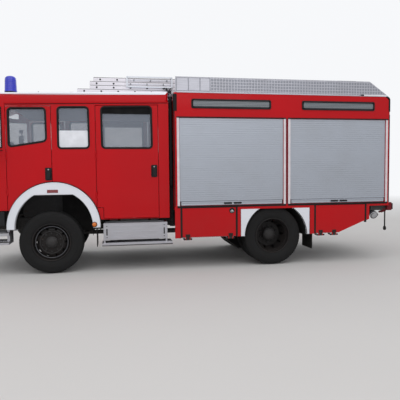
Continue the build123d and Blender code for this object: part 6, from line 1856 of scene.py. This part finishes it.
def makeControls():
    dress("dashboard", "dashboardShell", "dash", 0.006, 3, smooth=40)
    x = at(-0.652)
    binnacle = block((x - 0.004, 0.42, 1.7), (x + 0.02, 0.86, 1.87), 0.01, 3)
    rims, dials = [], []
    for y, z, r in ((0.55, 1.785, 0.058), (0.73, 1.785, 0.058), (0.64, 1.755, 0.026),
            (0.64, 1.825, 0.026)):
        rims.append(turned(((-0.005, r), (-0.005, r + 0.006), (-0.011, r + 0.004),
            (-0.011, r)), (x, y, z), "x", 28))
        dials.append(turned(pin(-0.0045, -0.0065, r - 0.002), (x, y, z), "x", 28))
    vents = [row(block((x - 0.007, y - 0.06, 1.83), (x - 0.001, y + 0.06, 1.836), 0.001, 1), 5,
        (0, 0, 0.011)) for y in (0.3, 0, -0.3, -0.7)]
    radio = [block((x - 0.008, -0.09, z), (x - 0.001, 0.09, z + 0.055), 0.005)
        for z in (1.7, 1.64)]
    keys = row(block((x - 0.012, -0.4, 1.7), (x - 0.002, -0.37, 1.735), 0.003), 6,
        (0, 0.045, 0))
    finished([binnacle] + vents + radio + [keys], "dashFittings", "plastic")
    finished(dials, "dialFaces", "film", slot="grey_plastic")
    finished(rims, "dialRims", "chrome")
    parts = [rod([(at(-0.6), 0.64 + side * 0.03, 1.86),      # stalks, gear lever, pedals
        (at(-0.58), 0.64 + side * 0.17, 1.875)], 0.006) for side in (-1, 1)]
    parts.append(rod([(at(-0.62), 0.26, 1.34), (at(-0.6), 0.26, 1.55),
        (at(-0.52), 0.28, 1.7)], 0.009, 0.08))
    parts.append(turned(((1.69, 0), (1.69, 0.016), (1.71, 0.026), (1.735, 0.024),
        (1.75, 0)), (at(-0.515), 0.281, 0), "z", 20))
    parts.append(turned(((1.335, 0), (1.335, 0.08), (1.36, 0.06), (1.4, 0.03),
        (1.45, 0.016), (1.45, 0)), (at(-0.615), 0.26, 0), "z", 24))
    for y in (0.5, 0.63, 0.76):
        parts.append(block((at(-0.83), y - 0.035, 1.4), (at(-0.81), y + 0.035, 1.5), 0.006))
        parts.append(rod([(at(-0.83), y, 1.47), (at(-0.88), y, 1.6)], 0.008))
    finished(parts, "driverControls", "plastic")
    liner = block((at(1.88), -1.06, 2.69), (at(-0.62), 1.06, 2.7), 0.004)
    finished(liner, "headlining", "liner")
    panels = [block((at(1.86), y - 0.5, z0), (at(1.852), y + 0.5, z1), 0.004, 3)
        for y in (-0.51, 0.51) for z0, z1 in ((0.97, 1.78), (1.79, 2.66))]
    finished(panels, "backLining", "liner")
    mats = [block((at(s1), -1.05, low), (at(s0), 1.05, high), 0.003)
        for s1, s0, low, high in ((0.72, -0.6, 1.341, 1.349), (1.86, 0.84, 0.946, 0.953))]
    finished(mats, "cabMats", "mat")


makeSeats()
makeControls()
print("cab interior made")

# running gear: springs, tanks, silencer, shafts, guards
def makeSprings():
    for word, s, tube in (("front", 0, 0.065), ("rear", 3.7, 0.075)):
        x, parts = at(s), []
        for n in range(6):       # the lower leaves are shorter
            half = 0.6 - 0.04 * max(0, 4 - n)
            parts.append(block((x - half, 0.3505, 0.585 + 0.0117 * n),
                (x + half, 0.4245, 0.5955 + 0.0117 * n), 0.002, 1))
        for reach in (-0.35, 0.35):
            parts.append(surround(flat(x + reach, (0.3505, 0.4245), (0.584, 0.657)), 0.004,
                (0.03, 0, 0)))
        for reach in (-0.6, 0.6):
            parts.append(turned(sleeve(0.347, 0.428, 0.012, 0.036),
                (x + reach * 0.985, 0, 0.621), "y", 20))
        finished(parts, word + "Springs_left", "chassis")
        bolts = [staple((s, 0.343, 0.42), (s, 0.432, 0.42), (0, 0, 0.252), 0.008, 0.012)
            for s in (x - tube - 0.02, x + tube + 0.02)]
        bolts.append(block((x - 0.115, 0.33, 0.43), (x + 0.115, 0.445, 0.445), 0.004))
        bolts.append(block((x - 0.09, 0.35, 0.656), (x + 0.09, 0.425, 0.664), 0.003))
        nut = turned(pin(0.418, 0.43, 0.014), (x + tube + 0.02, 0.343, 0), "z", 6)
        for move in ((0, 0.089, 0), (-2 * tube - 0.04, 0, 0), (-2 * tube - 0.04, 0.089, 0)):
            bolts.append(copied(nut, move))
        finished(bolts + [nut], word + "SpringBolts_left", "steel")


def makeAxleDetail():
    dress("axles", "axleCastings", "cast", 0.004, smooth=40)
    studs = []
    for s, y, r in ((0, -0.15, 0.165), (3.7, 0, 0.19)):
        x = at(s)
        flange = turned(sleeve(y - 0.008, y + 0.008, r - 0.012, r + 0.006), (x, 0, 0.51), "y",
            40)
        stud = turned(pin(y - 0.018, y + 0.018, 0.009), (x + r - 0.004, 0, 0.51), "y", 6)
        studs += [flange, ring(stud, 14, (x, 0, 0.51))]
    finished(studs, "diffFlanges", "steel", slot="cast_dark")
    dress("engine_and_drive", "engineAndDrive", "cast", 0.008, smooth=40)
    dress("knuckle_left", "knuckleCasting_left", "cast", body="left_steering")
    dress("chassis_frame", "chassisFrame", "chassis", smooth=40)
    rivets = []
    for s in (-1.08, -0.62, 1.25, 2.05, 2.9, 4.3, 5.1):
        stud = turned(((0.424, 0), (0.424, 0.011), (0.431, 0.009), (0.433, 0)),
            (at(s) - 0.03, 0, 0.7), "y", 8)
        rivets.append(row(row(stud, 2, (0.06, 0, 0)), 3, (0, 0, 0.055)))
    finished(rivets, "frameRivets_left", "chassis")


def makeTanks():
    dress("tanks", "tankShells", "steel", 0.02, 3, smooth=40)
    ends = (at(1.06), at(1.58))
    bands = [surround(flat(x, (0.424, 0.7615), (0.439, 0.841)), 0.004, (-0.045, 0, 0), 0.022)
        for x in ends]
    bands += [turned(sleeve(x - 0.045, x, 0.1, 0.104), (0, -0.59, 0.6), "x", 40)
        for x in ends]
    finished(bands, "tankStraps", "chassis")
    cap = turned(((0.838, 0), (0.838, 0.048), (0.86, 0.048), (0.864, 0.058), (0.885, 0.058),
        (0.892, 0.05), (0.892, 0)), (at(1.34), 0.69, 0), "z", 28)
    tap = turned(((0.47, 0), (0.47, 0.014), (0.5, 0.014), (0.505, 0)),
        (at(1.34), -0.59, 0), "z", 12)
    finished([cap, tap], "tankCaps", "brass", slot="chassis_black")


def makeExhaust():
    dress("exhaust", "exhaustPipes", "cast", 0.004, smooth=40)
    bands = [turned(sleeve(x - 0.03, x, 0.1, 0.1185), (0, -0.58, 0.64), "x", 44)
        for x in map(at, (2.17, 2.5, 2.86))]
    hangers = [rod([(x - 0.015, -0.58, 0.757), (x - 0.015, -0.58, 0.82),
        (x - 0.015, -0.43, 0.82)], 0.008, 0.02) for x in map(at, (2.17, 2.86))]
    finished(bands + hangers, "exhaustClamps", "steel")


def makeMudflaps():
    dress("mudflaps", "mudflapSheets", "rubber", 0.002, smooth=40)
    trims, bolts = [], []
    for s, y0, y1, z0, z1 in ((0.715, 0.85, 1.18, 0.42, 0.74), (4.42, 0.76, 1.19, 0.25, 0.7)):
        x = at(s)
        for back, fore in ((-0.001, 0.005), (-0.017, -0.0115)):
            trims.append(block((x + back, y0 + 0.01, z1 - 0.05),
                (x + fore, y1 - 0.01, z1 - 0.005), 0.002))
        rib = block((x - 0.0155, y0 + 0.03, z0 + 0.03), (x - 0.0115, y0 + 0.036, z1 - 0.07),
            0.001, 1)
        bolts.append(row(rib, int((y1 - y0 - 0.06) / 0.03), (0, 0.03, 0)))
        stud = turned(pin(x - 0.022, x + 0.01, 0.009), (0, y0 + 0.05, z1 - 0.027), "x", 6)
        bolts.append(row(stud, 4, (0, (y1 - y0 - 0.1) / 3, 0)))
    finished(trims, "mudflapClamps_left", "steel")
    finished(bolts, "mudflapRibs_left", "rubber")


makeSprings()
makeAxleDetail()
makeTanks()
makeExhaust()
makeMudflaps()
print("running gear made")


# roof deck, lockers' insides, floors
def makeDeck():
    dress("body_roof", "bodyRoof", "tread", smooth=40)
    lids, irons = [], []
    for s0, s1 in ((2.1, 2.72), (2.84, 3.46), (3.58, 4.2), (4.32, 4.82)):
        lids.append(outline(flat((at(s0), at(s1)), (0.72, 1.1), 2.924), (0, 0, 0.018), 0.03,
            0.005))
        for x in (at(s0 + 0.12), at(s1 - 0.12)):
            irons.append(turned(pin(x - 0.04, x + 0.04, 0.009), (0, 0.712, 2.936), "x", 12))
        x = at((s0 + s1) / 2)
        irons.append(staple((x - 0.06, 1.06, 2.94), (x + 0.06, 1.06, 2.94), (0, 0, 0.025),
            0.006, 0.012))
    finished(lids, "deckLids_left", "tread")
    finished(irons, "deckIrons_left", "steel", slot="aluminium")
    x = at(5.27)
    flange = turned(((2.922, 0.05), (2.922, 0.115), (2.934, 0.115), (2.937, 0.062),
        (2.96, 0.0585), (2.96, 0.05)), (x, 0, 0), "z", 36)
    stud = turned(pin(2.934, 2.943, 0.009), (x + 0.095, 0, 0), "z", 6)
    finished([flange, ring(stud, 8, (x, 0, 0), "Z")], "mastFlange", "steel", slot="aluminium")
    dress("body_floor", "bodyFloor", "alloy", smooth=40)
    dress("cab_floor", "cabFloor", "mat", 0.004, smooth=40)
    lockers = dress("lower_lockers", "lowLockers", "alloy", 0.002, smooth=40)
    lockers.data.materials.append(paints["black"])       # the fixed hinge barrels
    for face in lockers.data.polygons:
        if face.center.z < 0.53 and abs(face.center.y) > 1.226:
            face.material_index = 1


def makeLockerFittings():
    mats, rails = [], []
    for s0, s1 in ((2.1, 3.03), (4.47, 4.88)):
        slat = block((at(s0) - 0.03, 0.775, 0.521), (at(s0) - 0.01, 1.2, 0.531), 0.002, 1)
        mats.append(row(slat, int((s1 - s0 - 0.02) / 0.032), (-0.032, 0, 0)))
        rails += [block((at(s1), 0.752, z), (at(s0), 0.764, z + 0.03), 0.003)
            for z in (0.72, 0.86)]
    finished(mats, "lockerMats_left", "rubber")
    finished(rails, "lockerRails_left", "alloy")


makeDeck()
makeLockerFittings()
print("deck and lockers made")

# light, world, floor
light = {"sky": 0.72, "key": 520, "fill": 150, "size": 14, "aim": (0, 0, 1.4)}


def makeLight():
    world = bpy.data.worlds.new("studioWorld")
    bpy.context.scene.world = world
    world.use_nodes = True
    tree = world.node_tree
    path = tree.nodes.new("ShaderNodeLightPath")
    camera, glossy, through = (Wire(tree, path.outputs[f"Is {kind} Ray"])
        for kind in ("Camera", "Glossy", "Transmission"))
    strength = camera.most(glossy).most(through) * (1 - light["sky"]) + light["sky"]
    surface = tree.nodes["Background"]
    surface.inputs["Color"].default_value = backdropWhite
    tree.links.new(strength.socket, surface.inputs["Strength"])
    for place, power in (((1.5, 6.5, 9.0), light["key"]), ((-3.0, -8.0, 8.0), light["fill"])):
        bpy.ops.object.light_add(type="AREA", location=place)
        lamp = bpy.context.object
        lamp.data.size, lamp.data.energy = light["size"], power
        away = Vector(light["aim"]) - Vector(place)
        lamp.rotation_euler = away.to_track_quat("-Z", "Y").to_euler()


def makeFloor():
    bpy.ops.object.select_all(action="DESELECT")
    bpy.ops.mesh.primitive_plane_add(size=120, location=(0, 0, 0))
    floor = bpy.context.object
    floor.name = "floor"
    floor.data.materials.append(studioFloor())


makeLight()
makeFloor()
bpy.context.scene.view_settings.view_transform = "Standard"
print("light and floor made")
